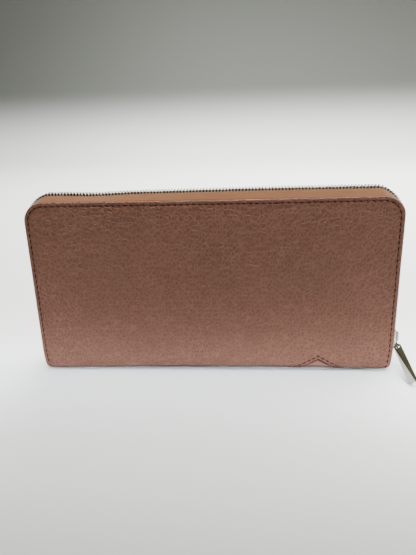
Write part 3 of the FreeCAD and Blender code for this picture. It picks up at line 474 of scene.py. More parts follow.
def crown(x, v, sign):
    """How far the padded middle of the cover stands out."""
    z = height_of(v)
    middle = (1 - (abs(x) / HALF) ** 3) * math.sin(math.pi * min(1.0, max(0.0, z / TOP)))
    ripple = soft_noise(x, v, 3.0 + sign, 0.03) * 0.22 * smooth(z / 20.0)
    return 0.28 + 0.55 * max(0.0, middle) + ripple


def on_crown(x, v, sign):
    """The crown, faded out on the spine's resting face."""
    return crown(x, v, sign) * smooth(height_of(v) / 2.0)


def leather_half(side, sign):
    """Half of the wrap: rings along its sewn border, the padded field, and the inner face."""
    rows = [0.0, 1.6, 3.2, 4.6] + [FLAT + BEND * math.pi / 24 * i for i in range(12)]
    climb = int((TOP - BEND - CORNER - 1.0) / ROW)
    rows += [V_BEND + ROW * i for i in range(climb + 1)] + [V_TOP - CORNER]
    reach = HALF - CORNER
    columns = [reach - 2 * reach * i / 220 for i in range(221)]
    turns = [math.pi / 2 * i / 18 for i in range(1, 18)]
    mesh = verts, faces = ([], [])
    # how far along the stitch line each mark of a ring lies
    bend_run = (CORNER - STITCH_INSET) * math.pi / 2
    side_run = V_TOP - CORNER - STITCH_START
    whole = 2 * (side_run + bend_run + reach)
    right = [v - STITCH_START for v in rows]
    right += [side_run + bend_run * turn / (math.pi / 2) for turn in turns]
    runs = right + [whole / 2 - x for x in columns] + [whole - run for run in right[::-1]]
    pitch = whole / round(whole / STITCH_PITCH)

    def pillow(d, run):
        """The leather puffs up beside the stitch line, between two needle holes."""
        if run < 0 or run > whole:
            return 0.0
        swell = 0.15 * math.exp(-((d - 2.95) / 0.75) ** 2) + 0.06 * math.exp(-((d - 1.3) / 0.4) ** 2)
        return -swell * math.cos(2 * math.pi * run / pitch)

    def off_at(d, x, v):
        for (d0, o0), (d1, o1) in zip(PROFILE, PROFILE[1:]):
            if d <= d1:
                off = o0 + (o1 - o0) * (d - d0) / (d1 - d0)
                break
        share = smooth(d / CORNER)
        clear = smooth(height_of(v) / 2.0)
        shape = off * (1 - share) + crown(x, v, sign) * share
        return shape * clear + min(off, 0.0) * (1 - clear) * 0.6

    def ring(d, flat_off=None):
        base = len(verts)
        path = arch_ring(d, lambda v: half_width(height_of(v)), rows, turns, columns, V_TOP, CORNER)
        for (x, v), run in zip(path, runs):
            off = off_at(d, x, v) + pillow(d, run) if flat_off is None else flat_off
            verts.append(wrap(x, v, off))
        return base

    def field(flat_off=None):
        base = len(verts)
        for v in rows:
            for x in columns:
                wide = x * (half_width(height_of(v)) - CORNER) / reach
                off = off_at(CORNER, wide, v) if flat_off is None else flat_off
                verts.append(wrap(wide, v, off))
        grid_faces(faces, base, len(rows), len(columns))

    bases = [ring(d) for d, off in PROFILE]
    for a, b in zip(bases, bases[1:]):
        bridge_faces(faces, a, b, len(runs))
    field()
    rim = ring(-0.06, -0.6)
    bridge_faces(faces, rim, bases[0], len(runs))
    for d in (0.0, 4.0, CORNER):
        inner = ring(d, -THICK)
        bridge_faces(faces, inner, rim, len(runs))
        rim = inner
    field(-THICK)
    obj = build(side + "_leather", mesh, LEATHER)
    if sign > 0:
        for vertex in obj.data.vertices:
            vertex.co.y = -vertex.co.y
    return tidy(obj, 0.01)


def cut_window(obj):
    """Cut the window along two slanting lines and take the leather inside it away."""
    bm = bmesh.new()
    bm.from_mesh(obj.data)
    apex_z = BEND + INLAY_RISE + spine_lift(INLAY_X, 7.0)
    apex = Vector((INLAY_X, 0, apex_z)) * MM
    for way in (-1.0, 1.0):
        near = [f for f in bm.faces if abs(f.calc_center_median().x / MM - INLAY_X) < 22
                and f.calc_center_median().z / MM < 9.5]
        geom = set(near)
        for f in near:
            geom.update(f.edges)
            geom.update(f.verts)
        normal = Vector((1.0, 0.0, way * INLAY_SLOPE)).normalized()
        bmesh.ops.bisect_plane(bm, geom=list(geom), plane_co=apex, plane_no=normal, dist=1e-7)
    drop = []
    for f in bm.faces:
        c = f.calc_center_median() / MM
        if c.z < apex_z and abs(c.x - INLAY_X) < (apex_z - c.z) * INLAY_SLOPE - 0.001:
            drop.append(f)
    bmesh.ops.delete(bm, geom=drop, context="FACES")
    # close the cut edge between the outer and the inner face
    rim = []
    for e in bm.edges:
        if e.is_boundary and max(
                abs(abs(v.co.x / MM - INLAY_X) - (apex_z - v.co.z / MM) * INLAY_SLOPE)
                for v in e.verts) < 0.03:
            rim.append(e)
    for face in bmesh.ops.bridge_loops(bm, edges=rim)["faces"]:
        face.material_index = 1
        face.smooth = False
    bmesh.ops.recalc_face_normals(bm, faces=bm.faces)
    bm.to_mesh(obj.data)
    bm.free()
    obj.data.materials.append(EDGE_PAINT_AND_SHADOW)
    obj.data.update()


def over_the_bend(piece):
    """Bake the piece's place into its mesh."""
    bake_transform(piece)


for side, sign in SIDES:
    sheet = leather_half(side, sign)
    cut_window(sheet)
    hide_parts(side + "_cover_leather", "spine_leather")
    over_the_bend(sheet)


# -------------------- thread, and painted shade at the needle holes

def on_leather(x, v, off, sign):
    x, y, z = wrap(x, v, off)
    return Vector((x, y * -sign, z))


def stitch_row(points, sign, threads, holes, depth_at, lean=0.16, slope=-0.42):
    """Threads end to end along a row of (x, v) marks, with a dark mark of painted shade for the needle
    hole between each two.
    """
    for i in range(len(points) - 1):
        (x0, v0), (x1, v1) = points[i], points[i + 1]
        a = on_leather(x0, v0, depth_at(x0, v0), sign)
        b = on_leather(x1, v1, depth_at(x1, v1), sign)
        up = on_leather((x0 + x1) / 2, (v0 + v1) / 2, depth_at(x0, v0) + 1.0, sign)
        centre = (a + b) / 2
        out = (up - centre).normalized()
        run = (b - a).normalized()
        side = out.cross(run).normalized()
        tilt = (run + side * lean).normalized()
        capsule(threads, centre + out * 0.08, tilt, out, (b - a).length * 0.72, *THREAD_SIZE)
        upright = abs(run.z) > 0.7
        slant = (run + side * slope * (0.4 if upright else 1.0)).normalized()
        length = UPRIGHT_HOLE_LENGTH if upright else HOLE_LENGTH
        # painted shade: a dark mark where the needle hole is
        capsule(holes, a + out * 0.13, slant, out, length, *HOLE_SIZE, rings=2)


def even_marks(path, pitch):
    """Marks a pitch apart along a dense (x, v) path."""
    lengths = [0.0]
    for (x0, v0), (x1, v1) in zip(path, path[1:]):
        lengths.append(lengths[-1] + math.hypot(x1 - x0, v1 - v0))
    count = max(1, round(lengths[-1] / pitch))
    marks = []
    k = 0
    for i in range(count + 1):
        goal = lengths[-1] * i / count
        while k < len(lengths) - 2 and lengths[k + 1] < goal:
            k += 1
        span = lengths[k + 1] - lengths[k]
        share = 0.0 if span == 0 else (goal - lengths[k]) / span
        (x0, v0), (x1, v1) = path[k], path[k + 1]
        marks.append((x0 + (x1 - x0) * share, v0 + (v1 - v0) * share))
    return marks


def edge_path(inset):
    """The stitch line: up one end, over the top, and down the other."""
    path = []
    arch = (HALF - inset, STITCH_START, V_TOP - inset, CORNER - inset)
    for i in range(721):
        x, v, turn = arch_point(arch_length(*arch) * i / 720, *arch)
        narrow = HALF - half_width(height_of(v))
        path.append((x - math.copysign(narrow, x), v))
    return path


def window_side(way, rise, reach, pitch):
    """Marks down one slanting side of the window, from its apex."""
    apex = V_BEND + INLAY_RISE + rise
    return even_marks([(INLAY_X, apex), (INLAY_X + way * reach, apex - reach / INLAY_SLOPE)], pitch)


for side, sign in SIDES:
    threads, holes = ([], []), ([], [])
    stitch_row(even_marks(edge_path(STITCH_INSET), STITCH_PITCH), sign, threads, holes,
               lambda x, v: -0.3)
    obj = build(side + "_thread", threads, THREAD)
    # the needle holes are dark marks of painted shade
    dark = build(side + "_needle_holes", holes, HOLE_SHADE)
    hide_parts(side + "_stitching")
    over_the_bend(obj)
    over_the_bend(dark)

# the V of stitches round the window, and dark strips along the window's cut edges: edge paint and
# painted shadow lines, the right one wider
threads, holes, rim = ([], []), ([], []), ([], [])
for side, sign in SIDES:
    for arm in (window_side(-1.0, 2.0, 17.5, 2.9)[::-1], window_side(1.0, 2.0, 15.0, 2.9)):
        stitch_row(arm, sign, threads, holes, lambda x, v: on_crown(x, v, sign) - 0.08, 0.1, -0.1)
    # dark strips on the leather's face along both cut edges, partly edge paint and partly painted
    # shadow
    for way, width in ((-1.0, 0.8), (1.0, 1.15)):
        marks = window_side(way, 0.0, 14.5, 1.5)
        for (x0, v0), (x1, v1) in zip(marks, marks[1:]):
            a = on_leather(x0, v0, on_crown(x0, v0, sign), sign)
            b = on_leather(x1, v1, on_crown(x1, v1, sign), sign)
            run = (b - a).normalized()
            up = on_leather(x0, v0, 1.5, sign) - on_leather(x0, v0, 0.0, sign)
            out = (up - run * up.dot(run)).normalized()
            capsule(rim, (a + b) / 2, run, out, (b - a).length * 1.3, width, 0.36, rings=2)
obj = build("inlay_edge_paint_and_shadow", rim, EDGE_PAINT_AND_SHADOW)
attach(obj, "spine")
obj = build("inlay_thread", threads, THREAD)
# the needle holes are dark marks of painted shade
dark = build("inlay_needle_holes", holes, HOLE_SHADE)
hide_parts("spine_stitching")
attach(obj, "spine")
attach(dark, "spine")


# -------------------- inlay and spine lining

def inlay_reach(v):
    """Half the inlay's width at a place round the section, a little less than the window's."""
    gap = 0.22
    return max(0.05, min(14.0 - gap, (V_BEND + INLAY_RISE - gap - v) * INLAY_SLOPE))


def u_sheet(name, material, middle, reach_at, outer, thick, v_top, columns, crease=0.0):
    """A sheet bent round the inside of the spine; outer is its depth under the leather's face."""
    rows = [V_BEND * i / 26 for i in range(27)]
    rows += [V_BEND + (v_top - V_BEND) * i / 4 for i in range(1, 5)]
    marks = [-v for v in rows[::-1]] + rows[1:]
    mesh = verts, faces = ([], [])
    for depth in (outer, outer + thick):
        for mark in marks:
            v = abs(mark)
            for j in range(columns + 1):
                x = middle + (2 * j / columns - 1) * reach_at(v)
                dent = crease * math.exp(-((v - 10.4 + 0.05 * (x - middle)) / 0.35) ** 2)
                x, y, z = wrap(x, v, -depth - dent)
                if v <= FLAT:
                    z = depth + spine_lift(x, 0.0)
                verts.append((x, y * (1 if mark > 0 else -1), z))
    sheet_faces(faces, len(marks), columns + 1)
    return tidy(build(name, mesh, material))


inlay = u_sheet("inlay", INLAY, INLAY_X, inlay_reach, 0.12, 0.8, V_BEND + 1.6, 12, 0.06)
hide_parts("spine_inlay")
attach(inlay, "spine")

lining = u_sheet("spine_cloth", CLOTH, 0.0, lambda v: 93.5, 1.55, 0.35, V_BEND + 3.8, 60)
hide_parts("spine_lining")
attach(lining, "spine")


# -------------------- zip tape and teeth

RIDGE_FOOT = 10.6
TOOTH_PITCH = 1.7
COIN_PITCH = 1.4
RIDGE_RISE = 0.6
CORNER_FALL = 1.1
# the tape's section beside the teeth, at the wallet's top and at its ends: depth from the
# ridge line and distance from the middle
ROOF = ((-5.0, 9.2), (-3.4, 9.3), (-2.7, 9.22), (-2.3, 8.85), (-1.95, 8.1), (-1.55, 7.0),
        (-1.1, 5.6), (-0.65, 4.2), (-0.4, 3.2), (-0.62, 2.6), (-0.7, 1.6))
FLAT_RUN = ((-5.0, 9.2), (-3.2, 9.25), (-2.1, 9.22), (-1.35, 9.0), (-0.7, 8.45), (-0.22, 7.5),
            (0.02, 6.3), (0.08, 5.0), (0.04, 3.6), (-0.5, 2.6), (-0.6, 1.6))
TAPE_THICK = 0.42


def ridge_wave(x, z):
    """The ridge of the zip isn't quite straight along the top, where it stands a little higher."""
    if z < TOP - 12:
        return 0.18 * math.sin(z / 11.0)
    wave = 0.2 + 0.42 * math.sin((x + 25) / 50.0) - 0.6 * math.exp(-((x + 60) / 14.0) ** 2)
    across = max(0.0, abs(x) - RIDGE_X + RIDGE_BEND) / RIDGE_BEND
    up = max(0.0, z - RIDGE_Z + RIDGE_BEND) / RIDGE_BEND
    return (wave + RIDGE_RISE) * smooth((RIDGE_X - abs(x)) / 16.0) - 2 * CORNER_FALL * across * up


def section(turn):
    """The tape's section: depth from the ridge line and distance from the middle."""
    share = smooth(turn / 1.2)
    return [(a0 + (b0 - a0) * share, a1 + (b1 - a1) * share)
            for (a0, a1), (b0, b1) in zip(FLAT_RUN, ROOF)]


def ridge_place(distance, foot):
    """A point on the ridge line, drawn in a little where the leather narrows."""
    x, z, turn = arch_point(distance, RIDGE_X, foot, RIDGE_Z, RIDGE_BEND)
    if z < 13:
        x -= math.copysign(2.4 * smooth((13 - z) / 9.0), x)
    return x, z, turn


def tape(side, sign):
    foot = 4.8
    total = arch_length(RIDGE_X, foot, RIDGE_Z, RIDGE_BEND)
    steps = 420
    mesh = verts, faces = ([], [])
    for i in range(steps + 1):
        distance = total * i / steps
        x, z, turn = ridge_place(distance, foot)
        out = Vector((math.cos(turn), 0, math.sin(turn)))
        wave = ridge_wave(x, z)
        cut = section(turn)
        last = len(cut) - 1
        marks = list(range(last + 1))
        for thick, order in ((0.0, marks), (TAPE_THICK, marks[::-1])):
            for k in order:
                n, y = cut[k]
                n0, y0 = cut[max(0, k - 1)]
                n1, y1 = cut[min(last, k + 1)]
                normal = Vector((y0 - y1, n1 - n0)).normalized()
                share = smooth((9.1 - y) / 6.0)
                pucker = 0.1 * soft_noise(distance, y, 5.0 * sign, 0.16) * smooth((9.2 - y) / 2.0)
                v = Vector((x, 0, z)) + out * (n + wave * share + pucker - thick * normal.x)
                verts.append((v.x, sign * (y - thick * normal.y), v.z))
    sweep_faces(faces, 0, steps, 2 * len(marks))
    obj = tidy(build(side + "_tape", mesh, TAPE))
    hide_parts(side + "_zip_tape")
    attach(obj, side + "_cover")


def teeth(side, sign, shift):
    """Teeth a pitch apart, each a block and a head, the heads coloured dark as painted shade between
    the teeth; shift sets one tape's teeth between the other's.
    """
    total = arch_length(RIDGE_X, RIDGE_FOOT, RIDGE_Z, RIDGE_BEND)
    low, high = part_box("zip_slider_body")
    distance = (low.z + high.z) / 2 / MM - RIDGE_FOOT - 0.1 + shift * TOOTH_PITCH
    mesh = ([], [])
    across = Y_AXIS * sign
    while distance < total - 3.2:
        x, z, turn = ridge_place(distance, RIDGE_FOOT)
        out = Vector((math.cos(turn), 0, math.sin(turn)))
        run = Vector((-math.sin(turn), 0, math.cos(turn)))
        centre = Vector((x, 0, z)) + out * ridge_wave(x, z)
        rounded_box(mesh, centre + across * 1.95, run, across, out, (0.84, 1.95, 1.76), 0.17)
        rounded_box(mesh, centre + across * 0.3, run, across, out, (0.66, 1.6, 1.2), 0.2)
        distance += TOOTH_PITCH
    obj = build(side + "_teeth", mesh, TEETH, shade=False)
    obj.data.materials.append(TEETH_GAP_SHADE)
    box_faces = 26
    # painted shade: every head takes the dark gap colour
    for number, poly in enumerate(obj.data.polygons):
        poly.material_index = number // box_faces % 2
    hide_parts(side + "_zip_teeth")
    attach(obj, side + "_cover")


def stops(side, sign):
    mesh = ([], [])
    for way in (1.0, -1.0):
        x, z, turn = ridge_place(0.7, RIDGE_FOOT)
        rounded_box(mesh, Vector((way * x, sign * 1.55, z)), Z_AXIS, Y_AXIS * sign, X_AXIS * way,
                    (1.2, 2.5, 1.9), 0.22)
    obj = build(side + "_stops", mesh, TEETH, shade=False)
    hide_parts(side + "_zip_stops")
    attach(obj, side + "_cover")


for side, sign in SIDES:
    tape(side, sign)
    teeth(side, sign, 0.25 if sign < 0 else 0.75)
    stops(side, sign)


# -------------------- metal that keeps its CAD shape

def paint(node, material):
    """Keep the CAD piece and give it another finish."""
    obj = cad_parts[node]
    obj.data.materials.clear()
    obj.data.materials.append(material)
    return obj


def ease_edges(obj, width):
    ease = obj.modifiers.new("ease", "BEVEL")
    ease.width = width * MM
    ease.segments = 3
    ease.limit_method = "ANGLE"
    ease.angle_limit = math.radians(28)


def polish(node, width):
    """Keep the CAD piece, ease its edges and give it the nickel finish."""
    obj = paint(node, NICKEL)
    weld = obj.modifiers.new("weld", "WELD")
    weld.merge_threshold = 0.00001
    ease_edges(obj, width)


def ridged_bar():
    """The pull bar: a ridge runs aslant down its face; one flank has a painted highlight and the other
    painted shade, as two colours of one nickel.
    """
    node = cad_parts["zip_pull_bar"]
    bm = bmesh.new()
    bm.from_mesh(node.data)
    bm.transform(node.matrix_world)
    bmesh.ops.remove_doubles(bm, verts=bm.verts, dist=0.00001)
    out = max(bm.faces, key=lambda f: f.calc_area()).normal.copy()
    if out.z < 0:
        out = -out
    low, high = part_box("zip_pull_bar")
    hinge = sum(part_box("zip_pull_ring"), Vector()) / 2
    end = max(bm.verts, key=lambda v: (v.co - hinge).length).co.copy()
    run = end - hinge
    run = (run - out * run.dot(out)).normalized()
    side = out.cross(run).normalized()
    middle = (low + high) / 2
    spans = [(v.co - middle).dot(side) for v in bm.verts]
    centre = middle + side * ((max(spans) + min(spans)) / 2)
    half = (max(spans) - min(spans)) / 2
    top = max((v.co - centre).dot(out) for v in bm.verts)
    lengths = [(v.co - centre).dot(run) for v in bm.verts]
    # the ridge starts by the ring at one side and ends at the other
    first = centre + run * (min(lengths) + 1.5 * MM) - side * half
    last = centre + run * max(lengths) + side * half * 0.62
    normal = out.cross((last - first).normalized()).normalized()
    bmesh.ops.bisect_plane(bm, geom=bm.verts[:] + bm.edges[:] + bm.faces[:], plane_co=first,
                           plane_no=normal, dist=1e-7)
    for v in bm.verts:
        if (v.co - centre).dot(out) > 0.2 * top:
            away = (v.co - first).dot(normal)
            v.co -= out * abs(away) * (0.12 if away > 0 else 0.2)
    # each flank takes its colour: the painted highlight or the painted shade
    for f in bm.faces:
        f.material_index = 1 if (f.calc_center_median() - first).dot(normal) > 0 else 0
        f.smooth = False
    data = bpy.data.meshes.new("ridged_bar")
    bm.to_mesh(data)
    bm.free()
    data.materials.append(PAINTED_HIGHLIGHT_FLANK)
    data.materials.append(PAINTED_SHADE_FLANK)
    obj = bpy.data.objects.new("ridged_bar", data)
    bpy.context.scene.collection.objects.link(obj)
    ease_edges(obj, 0.25)
    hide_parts("zip_pull_bar")
    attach(obj, "pull_bar")


def slider_loop():
    """The slider's loop: a rounded wire, thinner where the ring hangs."""
    x0, x1, near, far, z0, z1 = size_of("zip_slider_bridge")
    steps, around = 48, 14
    path = []
    mesh = verts, faces = ([], [])
    for i in range(steps + 1):
        turn = -math.pi / 2 + math.pi * i / steps
        wire = 0.42 + 0.28 * smooth((turn + 1.2) / 0.6)
        swell = max(1e-9, math.cos(turn)) ** 0.6
        reach = math.copysign(abs(math.sin(turn)) ** 0.6, turn)
        path.append((x0 + (x1 - wire - x0) * swell, (z0 + z1) / 2 + ((z1 - z0) / 2 - wire) * reach,
                     wire))
    for i, (x, z, wire) in enumerate(path):
        x_ahead, z_ahead, _ = path[min(steps, i + 1)]
        x_behind, z_behind, _ = path[max(0, i - 1)]
        run = Vector((x_ahead - x_behind, 0, z_ahead - z_behind)).normalized()
        out = Vector((run.z, 0, -run.x))
        for j in range(around):
            angle = 2 * math.pi * j / around
            v = Vector((x, 0, z)) + out * math.cos(angle) * wire
            verts.append((v.x, math.sin(angle) * 0.62, v.z))
    sweep_faces(faces, 0, steps, around)
    # the loop takes the darker nickel of painted shade
    obj = tidy(build("slider_loop", mesh, LOOP_NICKEL_SHADE))
    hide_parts("zip_slider_bridge")
    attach(obj, "zip_slider")


slider_loop()
ridged_bar()
for node, width in (("zip_slider_body", 0.22), ("coin_slider_body", 0.15),
                    ("coin_slider_bridge", 0.2), ("coin_pull", 0.18)):
    polish(node, width)
# the pull ring takes the darker nickel of painted shade
paint("zip_pull_ring", LOOP_NICKEL_SHADE)
for node in ("spine_reinforcement", "front_cover_board", "back_cover_board"):
    paint(node, EDGE_PAINT_AND_SHADOW)


# -------------------- sheets inside

def leaf(name, material, half, foot, top, radius, inner, outer, sign, puff=0.0, dip=0.0):
    """A flat panel with eased edges and, near its edge, the dent of a stitch line."""
    rings = [d for d in (0.0, 0.12, 0.35, 0.9, 1.45, 1.8, 2.1) if d < radius] + [radius]
    reach = half - radius
    rows = [foot + (top - radius - foot) * i / 24 for i in range(25)]
    columns = [reach - 2 * reach * i / 48 for i in range(49)]
    turns = [math.pi / 2 * i / 8 for i in range(1, 8)]
    mesh = verts, faces = ([], [])
    middle = (inner + outer) / 2
    thick = abs(outer - inner)

    def depth(d, x, z, face):
        round_off = 0.5 * thick * (1 - smooth(d / 0.35))
        dent = dip * math.exp(-((d - 1.8) / 0.3) ** 2)
        swell = puff * (1 - (x / half) ** 2) * math.sin(math.pi * (z - foot) / (top - foot))
        swell += puff * 0.6 * soft_noise(x, z, inner * 7, 0.045)
        return sign * (middle + swell + face * (thick / 2 - round_off - dent))

    def ring(d, face):
        path = arch_ring(d, lambda z: half, rows, turns, columns, top, radius)
        verts.extend((x, depth(d, x, z, face), z) for x, z in path)
        return len(verts) - len(path), len(path)

    firsts = []
    for face in (1, -1):
        last, count = ring(rings[0], face)
        firsts.append(last)
        for d in rings[1:]:
            base, count = ring(d, face)
            bridge_faces(faces, last, base, count)
            last = base
        base = len(verts)
        verts.extend((x, depth(radius, x, z, face), z) for z in rows for x in columns)
        grid_faces(faces, base, len(rows), len(columns))
    bridge_faces(faces, firsts[0], firsts[1], count)
    return tidy(build(name, mesh, material), 0.004)


def seam(name, body, a, b, sign, *more):
    """Stitches on an inner sheet's face, from a to b; more holds other pairs of ends."""
    mesh = ([], [])
    pitch = 3.0
    for a, b in ((a, b), *more):
        a, b = Vector(a), Vector(b)
        count = max(1, round((b - a).length / pitch))
        run = (b - a).normalized()
        for i in range(count):
            centre = a + (b - a) * ((i + 0.5) / count)
            capsule(mesh, centre, run, Y_AXIS * sign, pitch * 0.72, 0.5, 0.35, rings=2, around=6)
    obj = build(name, mesh, THREAD)
    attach(obj, body)


def strip(name, material, x0, x1, section_at, steps):
    """A strip along x with one closed section, given by its (y, z) points at each x."""
    mesh = verts, faces = ([], [])
    for i in range(steps + 1):
        x = x0 + (x1 - x0) * i / steps
        ring = section_at(x)
        verts.extend((x, y, z) for y, z in ring)
    sweep_faces(faces, 0, steps, len(ring))
    return tidy(build(name, mesh, material))


for side, sign in SIDES:
    body = side + "_cover"
    x0, x1, near, far, z0, z1 = size_of(side + "_cover_lining")
    obj = leaf(side + "_cover_cloth", CLOTH, x1, z0, z1, 8.5, near, far, sign)
    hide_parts(side + "_cover_lining")
    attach(obj, body)
    for row in range(1, 5):
        node = "%s_card_pocket_%d" % (side, row)
        x0, x1, near, far, z0, z1 = size_of(node)
        obj = leaf(node + "_leaf", INNER, x1, z0, z1, 2.1, near + 0.02, far - 0.02, sign, 0.0, 0.06)
        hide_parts(node)
        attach(obj, body)
        y = sign * (near - 0.02)
        seam(node + "_top_seam", body, (2 - x1, y, z1 - 1.9), (x1 - 2, y, z1 - 1.9), -sign)
        if row == 4:
            seam(node + "_middle_seam", body, (0.6, y, z0 + 2), (0.6, y, z1 - 2), -sign)
    body = side + "_divider"
    x0, x1, near, far, z0, z1 = size_of(side + "_divider_panel")
    obj = leaf(side + "_divider_leaf", INNER, x1, z0, z1, 5.25, near, far, sign, 0.12, 0.05)
    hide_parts(side + "_divider_panel")
    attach(obj, body)
    x, y = x1 - 1.8, sign * (far + 0.05)
    seam(side + "_divider_seam", body, (-x, y, z0 + 2), (-x, y, z1 - 7), sign,
         ((x, y, z0 + 2), (x, y, z1 - 7)))
    x0, x1, near, far, z0, z1 = size_of(side + "_divider_binding")
    lip = z0 - z1 + 0.9
    folded = ((-1.0, lip), (-1.0, -0.5), (-0.75, -0.12), (0.0, 0.0), (0.75, -0.12), (1.0, -0.5),
              (1.0, lip), (0.62, lip - 0.1), (0.58, -0.9), (-0.58, -0.9), (-0.62, lip - 0.1))

    def binding_at(x):
        """Leather folded over the divider's top edge, a little narrower at its ends."""
        wide = (far - near) / 2 * (0.82 + 0.18 * smooth(min(x - x0, x1 - x) / 2.0))
        return [(sign * ((near + far) / 2 + p * wide), z1 + q) for p, q in folded]

    obj = strip(side + "_binding", LEATHER, x0, x1, binding_at, 90)
    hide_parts(side + "_divider_binding")
    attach(obj, body)
    y = sign * (far + 0.02)
    seam(side + "_binding_seam", body, (x0 + 2, y, z0 + 1.6), (x1 - 2, y, z0 + 1.6), sign)


# -------------------- coin pocket

for side, sign in SIDES:
    x0, x1, near, far, z0, z1 = size_of("coin_%s_wall" % side)
    obj = leaf("coin_%s_leaf" % side, INNER, x1, z0, z1, 2.1, near, far, sign, 0.05, 0.05)
    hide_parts("coin_%s_wall" % side)
    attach(obj, "spine")
    x0, x1, near, far, z0, z1 = size_of("coin_%s_tape" % side)
    turned = ((1.3, z1 - 0.08), (1.3, z1 - 0.34), (far - 0.5, z1 - 0.42), (far - 0.42, z1 - 1.2),
              (far - 0.42, z0), (far, z0), (far, z1 - 0.9), (far - 0.12, z1 - 0.3), (far - 0.6, z1))

    def coin_tape_at(x):
        """Zip tape over the pocket's mouth, turned down outside the wall."""
        return [(sign * y, z + 0.08 * soft_noise(x, y, sign, 0.2)) for y, z in turned]

    obj = strip("coin_%s_zip_tape" % side, TAPE, x0, x1, coin_tape_at, 110)
    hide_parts("coin_%s_tape" % side)
    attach(obj, "spine")
    y = sign * (far + 0.02)
    seam("coin_%s_tape_seam" % side, "spine", (x0 + 1, y, z0 + 1.4), (x1 - 1, y, z0 + 1.4), sign)
    x0, x1, near, far, z0, z1 = size_of("coin_%s_teeth" % side)
    mesh = ([], [])
    x = x1 - 0.3
    while x > x0:
        for y, size, bevel in ((1.35, (0.62, 1.3, 1.15), 0.12), (0.25, (0.52, 1.25, 0.85), 0.14)):
            rounded_box(mesh, Vector((x, sign * y, (z0 + z1) / 2)), X_AXIS, Y_AXIS * sign, Z_AXIS,
                        size, bevel)
        x -= COIN_PITCH
    obj = build("coin_%s_zip_teeth" % side, mesh, TEETH, shade=False)
    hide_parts("coin_%s_teeth" % side)
    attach(obj, "spine")

x0, x1, near, far, z0, z1 = size_of("coin_zip_stops")
mesh = ([], [])
for way in (-1.0, 1.0):
    for sign in (-1.0, 1.0):
        rounded_box(mesh, Vector((way * (x1 - 0.5), sign * 1.1, (z0 + z1) / 2)),
                    X_AXIS, Y_AXIS, Z_AXIS, (1.0, 1.7, 1.35), 0.16)
obj = build("coin_stops", mesh, TEETH, shade=False)
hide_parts("coin_zip_stops")
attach(obj, "spine")

for node in ("coin_base", "coin_left_side", "coin_right_side"):
    low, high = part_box(node)
    mesh = ([], [])
    rounded_box(mesh, (low + high) / 2 / MM, X_AXIS, Y_AXIS, Z_AXIS, (high - low) / MM, 0.18)
    obj = build(node + "_strip", mesh, INNER, shade=False)
    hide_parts(node)
    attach(obj, "spine")


# -------------------- gussets

def gusset(end, way, side, sign):
    """A concertina of cloth between the middle of the wallet and its cover."""
    x0, x1, near, far, z0, z1 = size_of("%s_%s_gusset" % (end, side))
    inner, outer = sorted((abs(x0), abs(x1)))
    folds, steps, levels = 3, 48, 28
    mesh = verts, faces = ([], [])
    for depth in (0.0, 0.256):
        for k in range(levels + 1):
            z = z0 + (z1 - z0) * k / levels
            for i in range(steps + 1):
                share = i / steps
                wave = 0.5 - 0.5 * math.cos(math.pi * abs((share * folds + 1) % 2 - 1))
                x = inner + 0.3 + (outer - inner - 0.6) * wave
                x += 0.25 * soft_noise(share * 20, z, way * 4 + sign, 0.12)
                y = near + 0.15 + (far - near - 0.5) * share + depth
                verts.append((way * x, sign * y, z))
    sheet_faces(faces, levels + 1, steps + 1)
    obj = tidy(build("%s_%s_concertina" % (end, side), mesh, CLOTH))
    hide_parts("%s_%s_gusset" % (end, side))
    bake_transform(obj)


for side, sign in SIDES:
    for end, way in (("left", -1.0), ("right", 1.0)):
        gusset(end, way, side, sign)


# -------------------- camera, light and floor

def camera():
    data = bpy.data.cameras.new("camera")
    obj = bpy.data.objects.new("camera", data)
    bpy.context.scene.collection.objects.link(obj)
    data.lens = 33.748
    data.sensor_fit = "AUTO"
    data.sensor_width = 36.0
    place = Vector((17.87, -270.48, 145.1))
    tilt, yaw, roll = 0.330652, -0.075928, -0.033023
    ahead = Vector((math.sin(yaw) * math.cos(tilt), math.cos(yaw) * math.cos(tilt), -math.sin(tilt)))
    level = ahead.cross(Z_AXIS).normalized()
    upright = level.cross(ahead)
    right = level * math.cos(roll) + upright * math.sin(roll)
    up = upright * math.cos(roll) - level * math.sin(roll)
    obj.matrix_world = Matrix((right, up, -ahead)).transposed().to_4x4()
    obj.matrix_world.translation = place * MM
    data.clip_start = 0.01
    bpy.context.scene.camera = obj


camera()


def area(name, place, aim, size, power, colour=(1, 1, 1), spread=180):
    """A rectangular light that looks at aim, in metres; spread is its cone in degrees."""
    data = bpy.data.lights.new(name, "AREA")
    data.shape = "RECTANGLE"
    data.size = size[0]
    data.size_y = size[1]
    data.energy = power
    data.color = colour
    data.spread = math.radians(spread)
    obj = bpy.data.objects.new(name, data)
    bpy.context.scene.collection.objects.link(obj)
    obj.location = place
    obj.visible_camera = False
    obj.rotation_euler = (Vector(aim) - Vector(place)).to_track_quat("-Z", "Y").to_euler()


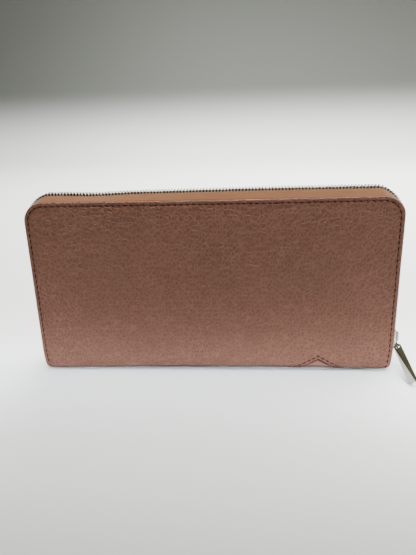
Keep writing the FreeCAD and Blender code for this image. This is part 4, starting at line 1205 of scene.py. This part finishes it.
def floor():
    """A pale table that sweeps up into a backdrop, with light and shade painted into its colour: the
    backdrop darkens to grey as it rises, the table darkens towards the front, and a painted pool of
    light lies by the wallet.
    """
    bend_y, bend_r = 1.0, 0.5
    path = [(-3.0, 0.0), (bend_y, 0.0)]
    for i in range(1, 13):
        turn = math.pi / 2 * i / 12
        path.append((bend_y + bend_r * math.sin(turn), bend_r - bend_r * math.cos(turn)))
    path.append((bend_y + bend_r, 3.0))
    wide = 3.0
    mesh = verts, faces = ([], [])
    for y, z in path:
        verts.append((-wide / MM, y / MM, z / MM))
        verts.append((wide / MM, y / MM, z / MM))
    grid_faces(faces, 0, len(path), 2)
    material, tree, shader = node_material("pale_floor_painted_light_and_shade")
    split = tree.nodes.new("ShaderNodeSeparateXYZ")
    tree.links.new(coordinates(tree), split.inputs["Vector"])
    # painted shade: the backdrop grows dark grey as it rises
    climb = soft_step(tree, split.outputs["Z"], 0.0, 0.185)
    near = soft_step(tree, split.outputs["Y"], -0.165, -0.02)
    backdrop_painted_shade = colour_mix(tree, (0.84, 0.84, 0.83), (0.12, 0.125, 0.11), climb, 0.0, 1.0)
    # painted pool of light by the wallet, brighter than white, and painted shade towards the front
    front = colour_mix(tree, (0.40, 0.398, 0.388), (1.10, 1.10, 1.08), near, 0.0, 1.0)
    tree.links.new(vector_math(tree, "MULTIPLY", backdrop_painted_shade, front), shader.inputs["Base Color"])
    shader.inputs["Roughness"].default_value = 0.7
    obj = build("floor", mesh, material)
    obj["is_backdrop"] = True


def sky(dark, light):
    """Soft surroundings: a dim room in front, a bright one above and behind."""
    world = bpy.data.worlds.new("world")
    bpy.context.scene.world = world
    world.use_nodes = True
    tree = world.node_tree
    place = tree.nodes.new("ShaderNodeTexCoord")
    facing = tree.nodes.new("ShaderNodeVectorMath")
    facing.operation = "DOT_PRODUCT"
    facing.inputs[1].default_value = (0.0, 0.6, 0.8)
    tree.links.new(place.outputs["Generated"], facing.inputs[0])
    above = soft_step(tree, facing.outputs["Value"], -0.2, 0.85)
    tree.links.new(colour_mix(tree, dark, light, above, 0.0, 1.0),
                   tree.nodes["Background"].inputs["Color"])
    tree.nodes["Background"].inputs["Strength"].default_value = 1.0


floor()
sky((0.09, 0.09, 0.085), (0.80, 0.84, 0.86))
area("overhead", (0.1, 0.06, 0.85), (0.1, 0.06, 0), (0.9, 0.6), 5.2, (1.0, 1.0, 0.99))
area("behind", (0.43, 0.6, 0.75), (0.38, 0.46, 0.0), (1.6, 0.5), 44.0)
# two narrow lights on the front cover's lower half, and one on the floor before it
area("foot", (0, -0.32, 0.22), (0, -0.012, 0), (0.44, 0.03), 0.057, (0.72, 0.83, 1.0), 10)
area("front_low", (0, -0.6, 0.04), (0, -0.01, -0.004), (0.5, 0.015), 0.037, (0.6, 0.78, 1.0), 7)
area("floor_pool", (0.02, -0.12, 0.5), (0.02, -0.03, 0), (0.4, 0.08), 0.2, spread=32)


def dark_card():
    """A dark card out of view on the right, seen only in the metal."""
    material, tree, shader = node_material("dark_card")
    shader.inputs["Base Color"].default_value = (0.02, 0.02, 0.016, 1)
    shader.inputs["Roughness"].default_value = 0.9
    x = 330.0
    corners = [(x, -200.0, 1.0), (x, 420.0, 1.0), (x, 420.0, 420.0), (x, -200.0, 420.0)]
    obj = build("dark_card", (corners, [(0, 1, 2, 3)]), material)
    obj.visible_camera = False
    obj.visible_diffuse = False
    obj.visible_shadow = False
    obj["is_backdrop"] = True


dark_card()

low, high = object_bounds()
